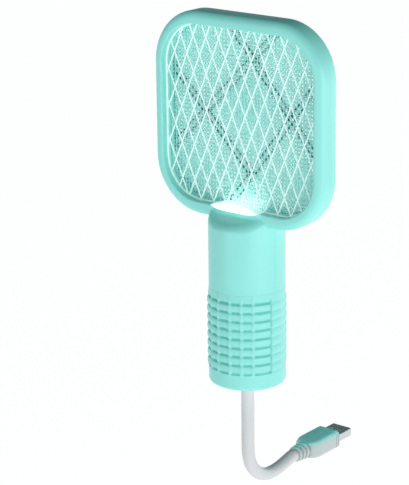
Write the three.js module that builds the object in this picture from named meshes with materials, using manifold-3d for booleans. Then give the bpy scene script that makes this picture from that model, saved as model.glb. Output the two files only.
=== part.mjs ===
// Mini rechargeable electric fly swatter on its own USB charging lead. Units are millimetres, +Z is up.
// The row's origin is on the flat shoulder of the USB plug, just above its metal shell, and the plug points
// along +Y. The swatter stands upright on the lead's other end, with the front of its head facing -Y.
import * as THREE from 'three';
import { mergeVertices } from 'three/addons/utils/BufferGeometryUtils.js';
import Module from 'manifold-3d';

const wasm = await Module();
wasm.setup();

// ---------------------------------------------------------------- driving dimensions
const GAP = 0.3; // clearance between pieces that seat on each other
const SWATTER_HANG = new THREE.Vector3(0, -71, 51.6); // the handle's base centre, from the plug's shoulder

// head
const HEAD_W = 102;
const HEAD_H = 101.5;
const HEAD_R = 27.5;
const HEAD_FRONT_Y = -8.4;
const HEAD_BACK_Y = 4.4;
const HEAD_EDGE = 2.2; // rounding of the rim's outer edges
const RIM_W = 5.3; // rim face beside the opening
const RIM_H = 6.6; // rim face above and below the opening
const OPENING_R = 21;
const SEAT_LAP = 2.8; // how far the grids' seat reaches behind the rim
const FRONT_LIP = 3.2;
const REAR_LIP = 1.2;
const SEAM_Y = -2.0; // plane between the two housings

// grids, from the front lip to the rear one
const FRONT_GUARD_T = 1.0;
const FRONT_SPACER_T = 2.0;
const HV_GRID_T = 0.8;
const REAR_SPACER_T = 1.6;
const GRID_BORDER = 3.4;
const DIAMOND_W = 7.85;
const DIAMOND_H = 18.2;
const GUARD_WIRE = 0.9;
const REAR_PITCH = 10.5;
const HV_CELL = 13;
const HV_WIRE = 0.8;
const BRACE_W = 2.6;
const BRACE_HALF = 27.5; // half diagonal of the rhombus that the rear braces enclose
const TAB = { x: 4.6, w: 2.8, drop: 4 }; // solder tabs of the two live grids, below the roof

// handle
const HANDLE_R = 19;
const HANDLE_WALL = 2.0;
const HANDLE_TOP = 84.6; // where the round wall ends below the head
const ROOF_RISE = 3.6; // how far the sloping shoulder rises to the rim
const ROOF_SWEEP = 3; // how far outside the rim the shoulder's curve is drawn
const RIM_FOOT = 1.8; // from the shoulder's top to the foot of the opening
const CAP_H = 8.4;
const CAP_PROUD = 0.3; // beyond the handle's wall
const CAP_EDGE = 1.3;
const SPIGOT_H = 5.8;
const GRIP_TOP = 49.3;
const GRIP_PROUD = 0.75;
const GRIP_SINK = 1.1; // how far the sleeve's bore lies inside the handle's wall
const GROOVE_PITCH = 4.51;
const GROOVE_DEPTH = 0.95;
const GROOVE_W = 0.8; // from a groove's floor to the band beside it

// controls on the back of the handle
const CONTROL_CLEAR = 0.35;
const CONTROL_CUT = 11; // depth of the control holes from the handle's surface
const BUTTON_STEP = 11.5; // from the button up to the slide switch
const BUTTON_R = 5.6;
const BUTTON_PROUD = 1.6;
const BUTTON_TRAVEL = 1.0;
const BUTTON_EDGE = 0.8;
const BUTTON_STEM_R = 2.2;
const FLANGE = { lap: 0.9, t: 1.4 };
const PUSH_SWITCH = { w: 6, t: 3.6, floor: 1.2, plungerR: 1.6, reach: 5.4 };
const SWITCH_DROP = 10.1; // from the top of the handle's wall down to the knob at rest
const SWITCH_TRAVEL = 3.0;
const SLIDE_SWITCH = { w: 6.4, h: 9.2, t: 4.6, floor: 2, leverW: 2.4 };
const KNOB_W = 3.4;
const KNOB_H = 3.6;
const KNOB_PROUD = 1.3;
const KNOB_DEPTH = 6;
const WINDOW_STEP = 9.4; // from the charge window up to the button
const WINDOW_R = 1.4;
const WINDOW_PROUD = 0.1;
const INDICATOR = { r: 1.2, l: 2.5 };

// inside the handle
const CELL_R = 7.1;
const CELL_L = 49;
const CELL_Z = 22.4;
const CELL_STUD = { r: 2.6, h: 1 };
const CRADLE_T = 0.8;
const CRADLE_CLEAR = 1.2; // from the cradle to the handle's bore
const CONTACT = { w: 8, t: 0.6 };
const SPRING = { r0: 3.6, r1: 2.0, rise: 1.6, drop: 2.3, wire: 0.35, turns: 2 };
const BOARD_Z0 = 20;
const BOARD_HEADROOM = 2.6; // from the board's top to the roof
const BOARD_T = 1.6;
const CELL_TO_BOARD = 2.7;
// parts on the board's back, their z from its foot
const TRANSFORMER = { w: 11, h: 11, z: 6, wallClear: 2.5, yoke: 2.4, leg: 1.5, inset: 0.6 };
const CAPACITOR = { w: 13, h: 9, t: 5.4, z: 23.6, r: 1.6, edge: 0.6 };
const DIODE = { x: 7.4, z: 6, l: 5, r: 1.2 };
const RESISTOR = { x: -7.6, z: 32.5, l: 6, r: 1.1 };
const CONTROLLER = { x: 6.6, w: 4, z: 33, h: 5, t: 1.5 };
const SCREW_R = 0.95;
const SCREW_HEAD_R = 1.9;
const SCREW_HEAD_H = 1.3;
const BOSS_R = 2.9;
const SCREW_POINT = 1;
const NECK_SCREW_L = 15;
const NECK_SCREW_HEAD_Y = 9.2;
const NECK_SCREW_WALL = 6.8; // from the screw's axis to the handle's surface
const CAP_SCREW_L = 12;
const CAP_SCREW_HEAD_Z = 6.2;
const CAP_SCREW_WALL = 2.4; // from the screw's axis to the handle's bore
const CAP_BOSS_H = 5.1;
const LENS_W = 30;
const LENS_PROUD = 2.3;
const LENS_H = 4.8;
const LENS_SIDE_H = 1.6;
const LENS_STEP = 0.5; // from the shoulder's top to the lens's foot
const LENS_STEM = { half: 9, t: 1.9 };
const LIGHT_BOARD = { drop: 8, w: 17.2, d: 6, t: 1 }; // drop is from the top of the handle's wall
const LAMP = { pitch: 5.6, r: 1.5, tipR: 1.0, shoulder: 1.6, neck: 2.7, h: 3.1 };
const SLOT_LAP = 0.12; // how far the neck's slots run into each other

// charging end
const WELL_R = 6.6;
const PORT_MOUTH_Z = 11;
const PORT_TIP = { w: 6.85, t: 1.8, l: 6.2, sunk: 2, short: 0.6 };
const PORT_BODY = { w: 10.4, t: 8.2, below: 5.3, above: 9.4, r: 3.4, edge: 0.8 };
const PORT_CAN = { wall: 0.6, roof: 0.5 };
const SOCKET_BOARD = { w: 16, y0: -5.5, y1: 2.6, t: 1 };
const LEAD_WIRE_R = 0.6;
const CORD_D = 6.6;
const PLUG = { w: 14.6, t: 9.6, l: 23, r: 2.4, waist: 10.4, taper: 6.5 };
const PLUG_DROP = 3.625; // the plug's axis below the origin
const SHELL = { w: 12, t: 4.5, l: 12, wall: 0.35, seat: 5 };
const RELIEF = { l: 8, r0: 4.0, r1: 4.7 };

// ---------------------------------------------------------------- sizes that follow
const HEAD_Z = HANDLE_TOP + ROOF_RISE + RIM_FOOT + HEAD_H / 2 - RIM_H; // centre of the head
const HEAD_T = HEAD_BACK_Y - HEAD_FRONT_Y;
const OPENING_W = HEAD_W - 2 * RIM_W;
const OPENING_H = HEAD_H - 2 * RIM_H;
const SEAT_W = OPENING_W + 2 * SEAT_LAP;
const SEAT_H = OPENING_H + 2 * SEAT_LAP;
const SEAT_R = OPENING_R + SEAT_LAP;
const SEAT_FRONT_Y = HEAD_FRONT_Y + FRONT_LIP;
const SEAT_BACK_Y = HEAD_BACK_Y - REAR_LIP;
const FRONT_GUARD_Y = SEAT_FRONT_Y + GAP;
const FRONT_SPACER_Y = FRONT_GUARD_Y + FRONT_GUARD_T + GAP;
const HV_GRID_Y = FRONT_SPACER_Y + FRONT_SPACER_T + GAP;
const REAR_SPACER_Y = HV_GRID_Y + HV_GRID_T + GAP;
const REAR_GUARD_Y = REAR_SPACER_Y + REAR_SPACER_T + GAP;
const REAR_GUARD_T = SEAT_BACK_Y - GAP - REAR_GUARD_Y;
const SEAT_FOOT_Z = HEAD_Z - SEAT_H / 2;
const CAP_R = HANDLE_R + CAP_PROUD;
const GRIP_R = HANDLE_R + GRIP_PROUD;
const GRIP_BORE_R = HANDLE_R - GRIP_SINK;
const TUBE_R = GRIP_BORE_R - GAP; // housing's narrower lower part, inside the grip
const BORE_R = TUBE_R - HANDLE_WALL;
const UPPER_BORE_R = HANDLE_R - HANDLE_WALL;
const ROOF_UNDER_Z = HANDLE_TOP - HANDLE_WALL;
const ROOF_TOP_Z = HANDLE_TOP + ROOF_RISE;
const PILOT_R = SCREW_R + 0.25;
const NECK_SCREW_X = HANDLE_R - NECK_SCREW_WALL;
const NECK_SCREW_Z = HANDLE_TOP - 5.6;
const NECK_SCREW_TIP_Y = NECK_SCREW_HEAD_Y + SCREW_HEAD_H - NECK_SCREW_L - SCREW_POINT;
const CAP_SCREW_Y = BORE_R - CAP_SCREW_WALL;
const SPIGOT_TOP = CAP_H + SPIGOT_H;
const LENS_FOOT_Z = ROOF_TOP_Z + LENS_STEP;
const LENS_BACK_Y = FRONT_GUARD_Y - 2 * GAP;
const LIGHT_BOARD_Z = HANDLE_TOP - LIGHT_BOARD.drop;
const TAB_FOOT_Z = ROOF_UNDER_Z - TAB.drop;
const TAB_SLOT_HALF = TAB.x + TAB.w / 2 + 1;
const CELL_Y = CRADLE_CLEAR + CRADLE_T + GAP + CELL_R - BORE_R;
const BOARD_Y = CELL_Y + CELL_R + CELL_TO_BOARD;
const BOARD_BACK_Y = BOARD_Y + BOARD_T;
const BOARD_HALF_W = NECK_SCREW_X - BOSS_R - GAP; // the board's head stands between the bosses
const BOARD_TOP = ROOF_UNDER_Z - BOARD_HEADROOM;
const PART_FACE_Y = BOARD_BACK_Y + GAP; // where parts stand on the board's back
const GROOVE_COUNT = Math.floor((GRIP_TOP - CAP_H - GAP) / GROOVE_PITCH) - 1;
const SWITCH_Z = HANDLE_TOP - SWITCH_DROP;
const BUTTON_Z = SWITCH_Z - BUTTON_STEP;
const WINDOW_Z = BUTTON_Z - WINDOW_STEP;
const FLANGE_R = BUTTON_R + FLANGE.lap;
const FLANGE_Y = Math.sqrt(UPPER_BORE_R ** 2 - FLANGE_R ** 2) - GAP;

// ---------------------------------------------------------------- solids and meshes
function solid(geometry) {
  const bare = geometry.clone();
  bare.deleteAttribute('normal');
  bare.deleteAttribute('uv');
  const merged = mergeVertices(bare, 1e-4);
  return new wasm.Manifold(new wasm.Mesh({
    numProp: 3,
    vertProperties: new Float32Array(merged.attributes.position.array),
    triVerts: new Uint32Array(merged.index.array),
  }));
}

function geometryOf(manifold) {
  const mesh = manifold.getMesh();
  const geometry = new THREE.BufferGeometry();
  geometry.setAttribute('position', new THREE.BufferAttribute(mesh.vertProperties, 3));
  geometry.setIndex(new THREE.BufferAttribute(mesh.triVerts, 1));
  geometry.computeVertexNormals();
  return geometry;
}

const finishes = {
  shell: { color: 0x8fe3da, roughness: 0.38, metalness: 0 },
  grip: { color: 0x86ddd3, roughness: 0.5, metalness: 0 },
  guard: { color: 0xd8fff9, roughness: 0.4, metalness: 0.1 },
  steel: { color: 0xc3c7c9, roughness: 0.3, metalness: 1 },
  brass: { color: 0xc9a24a, roughness: 0.35, metalness: 1 },
  clear: { color: 0xf6fffd, roughness: 0.2, metalness: 0 },
  spacer: { color: 0x9fe8df, roughness: 0.5, metalness: 0 },
  board: { color: 0x1f6b45, roughness: 0.6, metalness: 0 },
  dark: { color: 0x25282b, roughness: 0.6, metalness: 0 },
  wrap: { color: 0x3f7fb8, roughness: 0.4, metalness: 0 },
  film: { color: 0xa8452c, roughness: 0.45, metalness: 0 },
  control: { color: 0xf2f6f5, roughness: 0.4, metalness: 0 },
  lead: { color: 0xe4e5e7, roughness: 0.45, metalness: 0 },
  red: { color: 0xb8332c, roughness: 0.5, metalness: 0 },
};

function piece(group, name, shape, finish) {
  const geometry = shape.isBufferGeometry ? shape : geometryOf(shape);
  const mesh = new THREE.Mesh(geometry, new THREE.MeshStandardMaterial(finishes[finish]));
  mesh.name = name;
  group.add(mesh);
  return mesh;
}

// ---------------------------------------------------------------- basic shapes
function roundedRect(w, h, r, cx = 0, cy = 0) {
  const shape = new THREE.Shape();
  const x = w / 2 - r;
  const y = h / 2 - r;
  shape.absarc(cx + x, cy + y, r, 0, Math.PI / 2);
  shape.absarc(cx - x, cy + y, r, Math.PI / 2, Math.PI);
  shape.absarc(cx - x, cy - y, r, Math.PI, 1.5 * Math.PI);
  shape.absarc(cx + x, cy - y, r, 1.5 * Math.PI, 2 * Math.PI);
  shape.closePath();
  return shape;
}

// An outline drawn in X and Z, extruded from y to y + depth.
function slab(shape, y, depth, curveSegments = 7) {
  const geometry = new THREE.ExtrudeGeometry(shape, { depth, bevelEnabled: false, curveSegments });
  return geometry.rotateX(Math.PI / 2).translate(0, y + depth, 0);
}

// The same with its outer edges rounded off at both ends.
function roundedSlab(shape, y, depth, edge, curveSegments = 7) {
  const geometry = new THREE.ExtrudeGeometry(shape, {
    depth: depth - 2 * edge,
    bevelEnabled: true,
    bevelThickness: edge,
    bevelSize: edge,
    bevelOffset: -edge,
    bevelSegments: 2,
    curveSegments,
  });
  return geometry.rotateX(Math.PI / 2).translate(0, y + depth - edge, 0);
}

// An outline drawn in X and Y, extruded from z to z + height.
function prism(shape, z, height, curveSegments = 6) {
  const geometry = new THREE.ExtrudeGeometry(shape, { depth: height, bevelEnabled: false, curveSegments });
  return geometry.translate(0, 0, z);
}

function box(x0, x1, y0, y1, z0, z1) {
  const geometry = new THREE.BoxGeometry(x1 - x0, y1 - y0, z1 - z0);
  return geometry.translate((x0 + x1) / 2, (y0 + y1) / 2, (z0 + z1) / 2);
}

function uprightRod(x, y, z0, z1, r, sides = 24) {
  const geometry = new THREE.CylinderGeometry(r, r, z1 - z0, sides);
  return geometry.rotateX(Math.PI / 2).translate(x, y, (z0 + z1) / 2);
}

function throughRod(x, z, y0, y1, r, sides = 16) {
  return new THREE.CylinderGeometry(r, r, y1 - y0, sides).translate(x, (y0 + y1) / 2, z);
}

// A profile of [radius, z] points turned about the Z axis; it starts and ends on the axis or closes.
function turned(points, segments) {
  const profile = points.map(([r, z]) => new THREE.Vector2(r, z));
  return new THREE.LatheGeometry(profile, segments).rotateX(Math.PI / 2);
}

function tubeAlong(points, r, sides, steps) {
  const section = new THREE.Shape();
  for (let i = 0; i < sides; i += 1) {
    const angle = (2 * Math.PI * i) / sides;
    if (i === 0) section.moveTo(r, 0);
    else section.lineTo(r * Math.cos(angle), r * Math.sin(angle));
  }
  section.closePath();
  const extrudePath = new THREE.CatmullRomCurve3(points.map((p) => new THREE.Vector3(...p)));
  return new THREE.ExtrudeGeometry(section, { steps, bevelEnabled: false, extrudePath });
}

function allOf(geometries) {
  return geometries.map(solid).reduce((sum, next) => sum.add(next));
}

// ---------------------------------------------------------------- housings
function headRim() {
  const outline = roundedRect(HEAD_W, HEAD_H, HEAD_R, 0, HEAD_Z);
  return solid(roundedSlab(outline, HEAD_FRONT_Y, HEAD_T, HEAD_EDGE));
}

function headHollow() {
  const opening = roundedRect(OPENING_W, OPENING_H, OPENING_R, 0, HEAD_Z);
  const seat = roundedRect(SEAT_W, SEAT_H, SEAT_R, 0, HEAD_Z);
  return solid(slab(opening, HEAD_FRONT_Y - 1, HEAD_T + 2))
    .add(solid(slab(seat, SEAT_FRONT_Y, SEAT_BACK_Y - SEAT_FRONT_Y)));
}

// The round wall under the head, closed by a shoulder that sweeps up from the round edge to the rim.
function handleShoulder() {
  const side = new THREE.Shape();
  side.moveTo(-HANDLE_R - 1, GRIP_TOP + GAP);
  side.lineTo(HANDLE_R + 1, GRIP_TOP + GAP);
  side.lineTo(HANDLE_R + 1, HANDLE_TOP);
  side.quadraticCurveTo(HEAD_BACK_Y + ROOF_SWEEP, HANDLE_TOP, HEAD_BACK_Y, ROOF_TOP_Z);
  side.lineTo(HEAD_FRONT_Y, ROOF_TOP_Z);
  side.quadraticCurveTo(HEAD_FRONT_Y - ROOF_SWEEP, HANDLE_TOP, -HANDLE_R - 1, HANDLE_TOP);
  side.closePath();
  const depth = 2 * HANDLE_R + 2;
  const roof = new THREE.ExtrudeGeometry(side, { depth, bevelEnabled: false, curveSegments: 5 });
  roof.rotateX(Math.PI / 2).rotateZ(Math.PI / 2).translate(-HANDLE_R - 1, 0, 0);
  const round = uprightRod(0, 0, GRIP_TOP + GAP, ROOF_TOP_Z, HANDLE_R, 40);
  return solid(round).intersect(solid(roof));
}

function handleBores() {
  return allOf([
    uprightRod(0, 0, CAP_H, GRIP_TOP + GAP + HANDLE_WALL, BORE_R, 32),
    uprightRod(0, 0, GRIP_TOP + GAP + HANDLE_WALL - 0.01, ROOF_UNDER_Z, UPPER_BORE_R, 32),
  ]);
}

function screwBosses() {
  const reach = HANDLE_R;
  const foot = SPIGOT_TOP + GAP;
  const top = foot + CAP_BOSS_H;
  const sink = 0.4; // the bosses end inside the wall
  const neckX = [-NECK_SCREW_X, NECK_SCREW_X];
  const capY = [-CAP_SCREW_Y, CAP_SCREW_Y];
  const necks = neckX.map((x) => throughRod(x, NECK_SCREW_Z, -reach, reach, BOSS_R));
  const caps = capY.map((y) => uprightRod(0, y, foot, top, BOSS_R, 16));
  const inside = uprightRod(0, 0, SPIGOT_TOP, ROOF_UNDER_Z + 1, TUBE_R - sink, 32);
  const above = uprightRod(0, 0, GRIP_TOP + HANDLE_WALL, ROOF_UNDER_Z + 1, HANDLE_R - sink, 32);
  return allOf([...necks, ...caps]).intersect(solid(inside).add(solid(above)));
}

function screwHoles() {
  const holes = [];
  for (const x of [-NECK_SCREW_X, NECK_SCREW_X]) {
    holes.push(throughRod(x, NECK_SCREW_Z, NECK_SCREW_TIP_Y - 1, HANDLE_R + 1, PILOT_R, 12));
    holes.push(throughRod(x, NECK_SCREW_Z, NECK_SCREW_HEAD_Y - GAP, HANDLE_R + 1, SCREW_HEAD_R + GAP, 16));
  }
  for (const y of [-CAP_SCREW_Y, CAP_SCREW_Y]) {
    holes.push(uprightRod(0, y, CAP_H, SPIGOT_TOP + CAP_BOSS_H + 1, PILOT_R, 12));
  }
  return allOf(holes);
}

function controlHoles() {
  const slotHalfW = KNOB_W / 2 + CONTROL_CLEAR;
  const slotHalfH = (KNOB_H + SWITCH_TRAVEL) / 2 + CONTROL_CLEAR;
  const slotZ = SWITCH_Z + SWITCH_TRAVEL / 2;
  const inner = HANDLE_R - CONTROL_CUT;
  const outer = HANDLE_R + 1;
  return allOf([
    throughRod(0, BUTTON_Z, inner, outer, BUTTON_R + CONTROL_CLEAR, 28),
    throughRod(0, WINDOW_Z, inner, outer, WINDOW_R + CONTROL_CLEAR, 12),
    box(-slotHalfW, slotHalfW, inner, outer, slotZ - slotHalfH, slotZ + slotHalfH),
  ]);
}

// The slots at the foot of the opening, for the light's lens and for the grids' tabs.
function neckSlots() {
  const stem = LENS_STEM.half + GAP;
  const head = LENS_W / 2 + GAP;
  const tabs = TAB_SLOT_HALF;
  const headFront = HEAD_FRONT_Y - LENS_PROUD - 1;
  const stemFront = LENS_BACK_Y - LENS_STEM.t - GAP;
  const foot = ROOF_UNDER_Z - 1;
  return allOf([
    box(-stem, stem, stemFront, SEAT_FRONT_Y + SLOT_LAP, foot, HEAD_Z),
    box(-head, head, headFront, SEAT_FRONT_Y + 2 * SLOT_LAP, LENS_FOOT_Z - GAP, HEAD_Z),
    box(-tabs, tabs, SEAT_FRONT_Y - SLOT_LAP, REAR_SPACER_Y - SLOT_LAP, foot, SEAT_FOOT_Z + 1),
  ]);
}

function wholeHousing() {
  const tube = uprightRod(0, 0, CAP_H + GAP, GRIP_TOP + GAP + 1, TUBE_R, 32);
  return headRim()
    .add(handleShoulder())
    .add(solid(tube))
    .subtract(handleBores())
    .add(screwBosses())
    .subtract(headHollow())
    .subtract(controlHoles())
    .subtract(screwHoles())
    .subtract(neckSlots());
}

function housings(group) {
  const whole = wholeHousing();
  const reach = HEAD_W;
  const top = HEAD_Z + HEAD_H;
  const front = box(-reach, reach, -reach, SEAM_Y - GAP / 2, -1, top);
  const rear = box(-reach, reach, SEAM_Y + GAP / 2, reach, -1, top);
  piece(group, 'front_housing', whole.intersect(solid(front)), 'shell');
  piece(group, 'rear_housing', whole.intersect(solid(rear)), 'shell');
}

// ---------------------------------------------------------------- grids
function border(outW, outH, outR, inW, inH, inR, y, depth) {
  const ring = roundedRect(outW, outH, outR, 0, HEAD_Z);
  ring.holes.push(roundedRect(inW, inH, inR, 0, HEAD_Z));
  return solid(slab(ring, y, depth, 5));
}

function seatedRing(inset, y, depth) {
  const clear = 2 * GAP;
  return border(SEAT_W - clear, SEAT_H - clear, SEAT_R - GAP,
    SEAT_W - 2 * inset, SEAT_H - 2 * inset, SEAT_R - inset, y, depth);
}

// A strip from one point to another in the X and Z of the head, seen from the front.
function strip(ax, az, bx, bz, width, y, depth) {
  const length = Math.hypot(bx - ax, bz - az);
  const bar = new THREE.BoxGeometry(length, depth, width);
  bar.rotateY(-Math.atan2(bz - az, bx - ax));
  return bar.translate((ax + bx) / 2, y + depth / 2, HEAD_Z + (az + bz) / 2);
}

function clippedToSeat(lattice, y, depth) {
  const outline = roundedRect(
    SEAT_W - GRID_BORDER, SEAT_H - GRID_BORDER, SEAT_R - GRID_BORDER / 2, 0, HEAD_Z);
  return lattice.intersect(solid(slab(outline, y - 1, depth + 2, 6)));
}

// Straight strands in two families that cross to make upright diamonds, joined as one sheet.
function diamondSheet(cellW, cellH, wire, y, depth) {
  const rise = SEAT_H / 2;
  const run = (rise * cellW) / cellH;
  const count = Math.ceil((SEAT_W / 2 + run) / cellW);
  const strands = [];
  for (let i = -count; i <= count; i += 1) {
    const x = i * cellW;
    strands.push(strip(x - run, -rise, x + run, rise, wire, y, depth));
    strands.push(strip(x + run, -rise, x - run, rise, wire, y, depth));
  }
  return clippedToSeat(allOf(strands), y, depth);
}

function gridTab(x, y, depth) {
  return solid(box(x - TAB.w / 2, x + TAB.w / 2, y, y + depth, TAB_FOOT_Z, SEAT_FOOT_Z + GRID_BORDER));
}

function frontGuard() {
  return diamondSheet(DIAMOND_W, DIAMOND_H, GUARD_WIRE, FRONT_GUARD_Y, FRONT_GUARD_T)
    .add(seatedRing(GRID_BORDER, FRONT_GUARD_Y, FRONT_GUARD_T))
    .add(gridTab(-TAB.x, FRONT_GUARD_Y, FRONT_GUARD_T));
}

// Upright and level wires that cross in square cells.
function centreGrid() {
  const wires = [];
  const columns = Math.floor(SEAT_W / 2 / HV_CELL);
  const rows = Math.floor(SEAT_H / 2 / HV_CELL);
  for (let c = -columns; c <= columns; c += 1) {
    const x = c * HV_CELL;
    wires.push(strip(x, -SEAT_H / 2, x, SEAT_H / 2, HV_WIRE, HV_GRID_Y, HV_GRID_T));
  }
  for (let r = -rows; r <= rows; r += 1) {
    const z = r * HV_CELL;
    wires.push(strip(-SEAT_W / 2, z, SEAT_W / 2, z, HV_WIRE, HV_GRID_Y, HV_GRID_T));
  }
  return clippedToSeat(allOf(wires), HV_GRID_Y, HV_GRID_T)
    .add(seatedRing(GRID_BORDER, HV_GRID_Y, HV_GRID_T))
    .add(gridTab(TAB.x, HV_GRID_Y, HV_GRID_T));
}

// The rear guard: upright bars stiffened by four slanting braces that cross in a rhombus.
function rearGuard() {
  const reach = SEAT_W;
  const bars = [];
  const columns = Math.floor(SEAT_W / 2 / REAR_PITCH);
  for (let c = -columns; c <= columns; c += 1) {
    const x = c * REAR_PITCH;
    bars.push(strip(x, -reach, x, reach, GUARD_WIRE, REAR_GUARD_Y, REAR_GUARD_T));
  }
  for (const side of [-1, 1]) {
    for (const slope of [-1, 1]) {
      const offset = side * BRACE_HALF;
      bars.push(strip(-reach, offset - slope * reach, reach, offset + slope * reach,
        BRACE_W, REAR_GUARD_Y, REAR_GUARD_T));
    }
  }
  return clippedToSeat(allOf(bars), REAR_GUARD_Y, REAR_GUARD_T)
    .add(seatedRing(GRID_BORDER, REAR_GUARD_Y, REAR_GUARD_T));
}

function grids(group) {
  piece(group, 'front_guard_grid', frontGuard(), 'guard');
  piece(group, 'front_spacer_frame', seatedRing(SEAT_LAP, FRONT_SPACER_Y, FRONT_SPACER_T), 'spacer');
  piece(group, 'high_voltage_grid', centreGrid(), 'steel');
  piece(group, 'rear_spacer_frame', seatedRing(SEAT_LAP, REAR_SPACER_Y, REAR_SPACER_T), 'spacer');
  piece(group, 'rear_guard_grid', rearGuard(), 'spacer');
}

// ---------------------------------------------------------------- lure light
// A low arched window that stands proud of the rim, with a stem that leads the light up from the lamps.
function lureLens() {
  const arch = new THREE.Shape();
  const half = LENS_W / 2;
  const side = LENS_FOOT_Z + LENS_SIDE_H;
  const top = LENS_FOOT_Z + LENS_H;
  const bow = half * 0.55;
  arch.moveTo(-half, LENS_FOOT_Z);
  arch.lineTo(half, LENS_FOOT_Z);
  arch.lineTo(half, side);
  arch.quadraticCurveTo(bow, top, 0, top);
  arch.quadraticCurveTo(-bow, top, -half, side);
  arch.closePath();
  const front = HEAD_FRONT_Y - LENS_PROUD;
  const stemFoot = LIGHT_BOARD_Z + LIGHT_BOARD.t + LAMP.h + 3 * GAP;
  const stem = box(-LENS_STEM.half, LENS_STEM.half, LENS_BACK_Y - LENS_STEM.t, LENS_BACK_Y,
    stemFoot, LENS_FOOT_Z + 1);
  return solid(slab(arch, front, LENS_BACK_Y - front, 8)).add(solid(stem));
}

function lureLight(group) {
  piece(group, 'lure_light_lens', lureLens(), 'clear');
  const lampY = LENS_BACK_Y - LENS_STEM.t / 2;
  const boardTop = LIGHT_BOARD_Z + LIGHT_BOARD.t;
  const halfW = LIGHT_BOARD.w / 2;
  const halfD = LIGHT_BOARD.d / 2;
  const board = box(-halfW, halfW, lampY - halfD, lampY + halfD, LIGHT_BOARD_Z, boardTop);
  piece(group, 'lure_light_board', board, 'board');
  const bulb = [[0, 0], [LAMP.r, 0], [LAMP.r, LAMP.shoulder], [LAMP.tipR, LAMP.neck], [0, LAMP.h]];
  [-LAMP.pitch, 0, LAMP.pitch].forEach((x, i) => {
    piece(group, `lure_lamp_${i + 1}`, turned(bulb, 12).translate(x, lampY, boardTop + GAP), 'clear');
  });
}

// ---------------------------------------------------------------- handle pieces
// A sleeve with level grooves between rounded bands.
function gripSleeve() {
  const bottom = CAP_H + GAP;
  const profile = [[GRIP_BORE_R, bottom], [GRIP_R - GROOVE_DEPTH, bottom], [GRIP_R, bottom + GROOVE_W]];
  for (let i = 1; i <= GROOVE_COUNT; i += 1) {
    const z = bottom + i * GROOVE_PITCH;
    profile.push([GRIP_R, z - GROOVE_W], [GRIP_R - GROOVE_DEPTH, z], [GRIP_R, z + GROOVE_W]);
  }
  profile.push([HANDLE_R, GRIP_TOP], [GRIP_BORE_R, GRIP_TOP], [GRIP_BORE_R, bottom]);
  return turned(profile, 36);
}

function endCap() {
  const spigotR = BORE_R - GAP;
  const mid = CAP_EDGE * 0.3;
  const cup = turned([
    [0, 0], [CAP_R - CAP_EDGE, 0], [CAP_R - mid, mid], [CAP_R, CAP_EDGE], [CAP_R, CAP_H],
    [spigotR, CAP_H], [spigotR, SPIGOT_TOP], [0, SPIGOT_TOP],
  ], 40);
  const cuts = [uprightRod(0, 0, -1, SPIGOT_TOP + 1, WELL_R, 24)];
  for (const y of [-CAP_SCREW_Y, CAP_SCREW_Y]) {
    cuts.push(uprightRod(0, y, -1, CAP_SCREW_HEAD_Z + SCREW_HEAD_H + GAP, SCREW_HEAD_R + GAP, 16));
    cuts.push(uprightRod(0, y, 0, SPIGOT_TOP + 1, PILOT_R, 12));
  }
  return solid(cup).subtract(allOf(cuts));
}

// A pan-head screw about the Z axis, its head down.
function screw(length) {
  const tip = length + SCREW_POINT;
  return turned([
    [0, 0], [SCREW_HEAD_R * 0.8, 0], [SCREW_HEAD_R, 0.4], [SCREW_HEAD_R, SCREW_HEAD_H],
    [SCREW_R, SCREW_HEAD_H], [SCREW_R, length], [SCREW_R * 0.4, tip], [0, tip],
  ], 12);
}

function screws(group) {
  [-CAP_SCREW_Y, CAP_SCREW_Y].forEach((y, i) => {
    const mesh = piece(group, `cap_screw_${i + 1}`, screw(CAP_SCREW_L), 'steel');
    mesh.position.set(0, y, CAP_SCREW_HEAD_Z);
  });
  [-NECK_SCREW_X, NECK_SCREW_X].forEach((x, i) => {
    const mesh = piece(group, `neck_screw_${i + 1}`, screw(NECK_SCREW_L), 'steel');
    mesh.position.set(x, NECK_SCREW_HEAD_Y + SCREW_HEAD_H, NECK_SCREW_Z);
    mesh.rotation.x = Math.PI / 2;
  });
}

// ---------------------------------------------------------------- controls
function pushButton(group) {
  const { w, t, floor, plungerR, reach } = PUSH_SWITCH;
  const front = PART_FACE_Y + t;
  const pocketY = PART_FACE_Y + floor;
  const stemY = PART_FACE_Y + reach;
  const body = solid(box(-w / 2, w / 2, PART_FACE_Y, front, BUTTON_Z - w / 2, BUTTON_Z + w / 2));
  const pocket = solid(throughRod(0, BUTTON_Z, pocketY, front + 1, plungerR + GAP, 14));
  piece(group, 'push_switch', body.subtract(pocket), 'dark');
  const plunger = throughRod(0, BUTTON_Z, pocketY + GAP + BUTTON_TRAVEL, stemY - GAP, plungerR, 14);
  piece(group, 'push_switch_plunger', plunger, 'red');
  const rootY = FLANGE_Y - 0.1;
  const faceY = HANDLE_R + BUTTON_PROUD;
  const cap = throughRod(0, BUTTON_Z, rootY, faceY - 0.5, BUTTON_R, 20);
  const crown = throughRod(0, BUTTON_Z, rootY, faceY, BUTTON_R - BUTTON_EDGE, 20);
  const stem = throughRod(0, BUTTON_Z, stemY, rootY + 0.8, BUTTON_STEM_R, 14);
  const flange = throughRod(0, BUTTON_Z, FLANGE_Y - FLANGE.t, FLANGE_Y, FLANGE_R, 20);
  piece(group, 'zap_button', allOf([cap, crown, stem, flange]), 'control');
}

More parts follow.
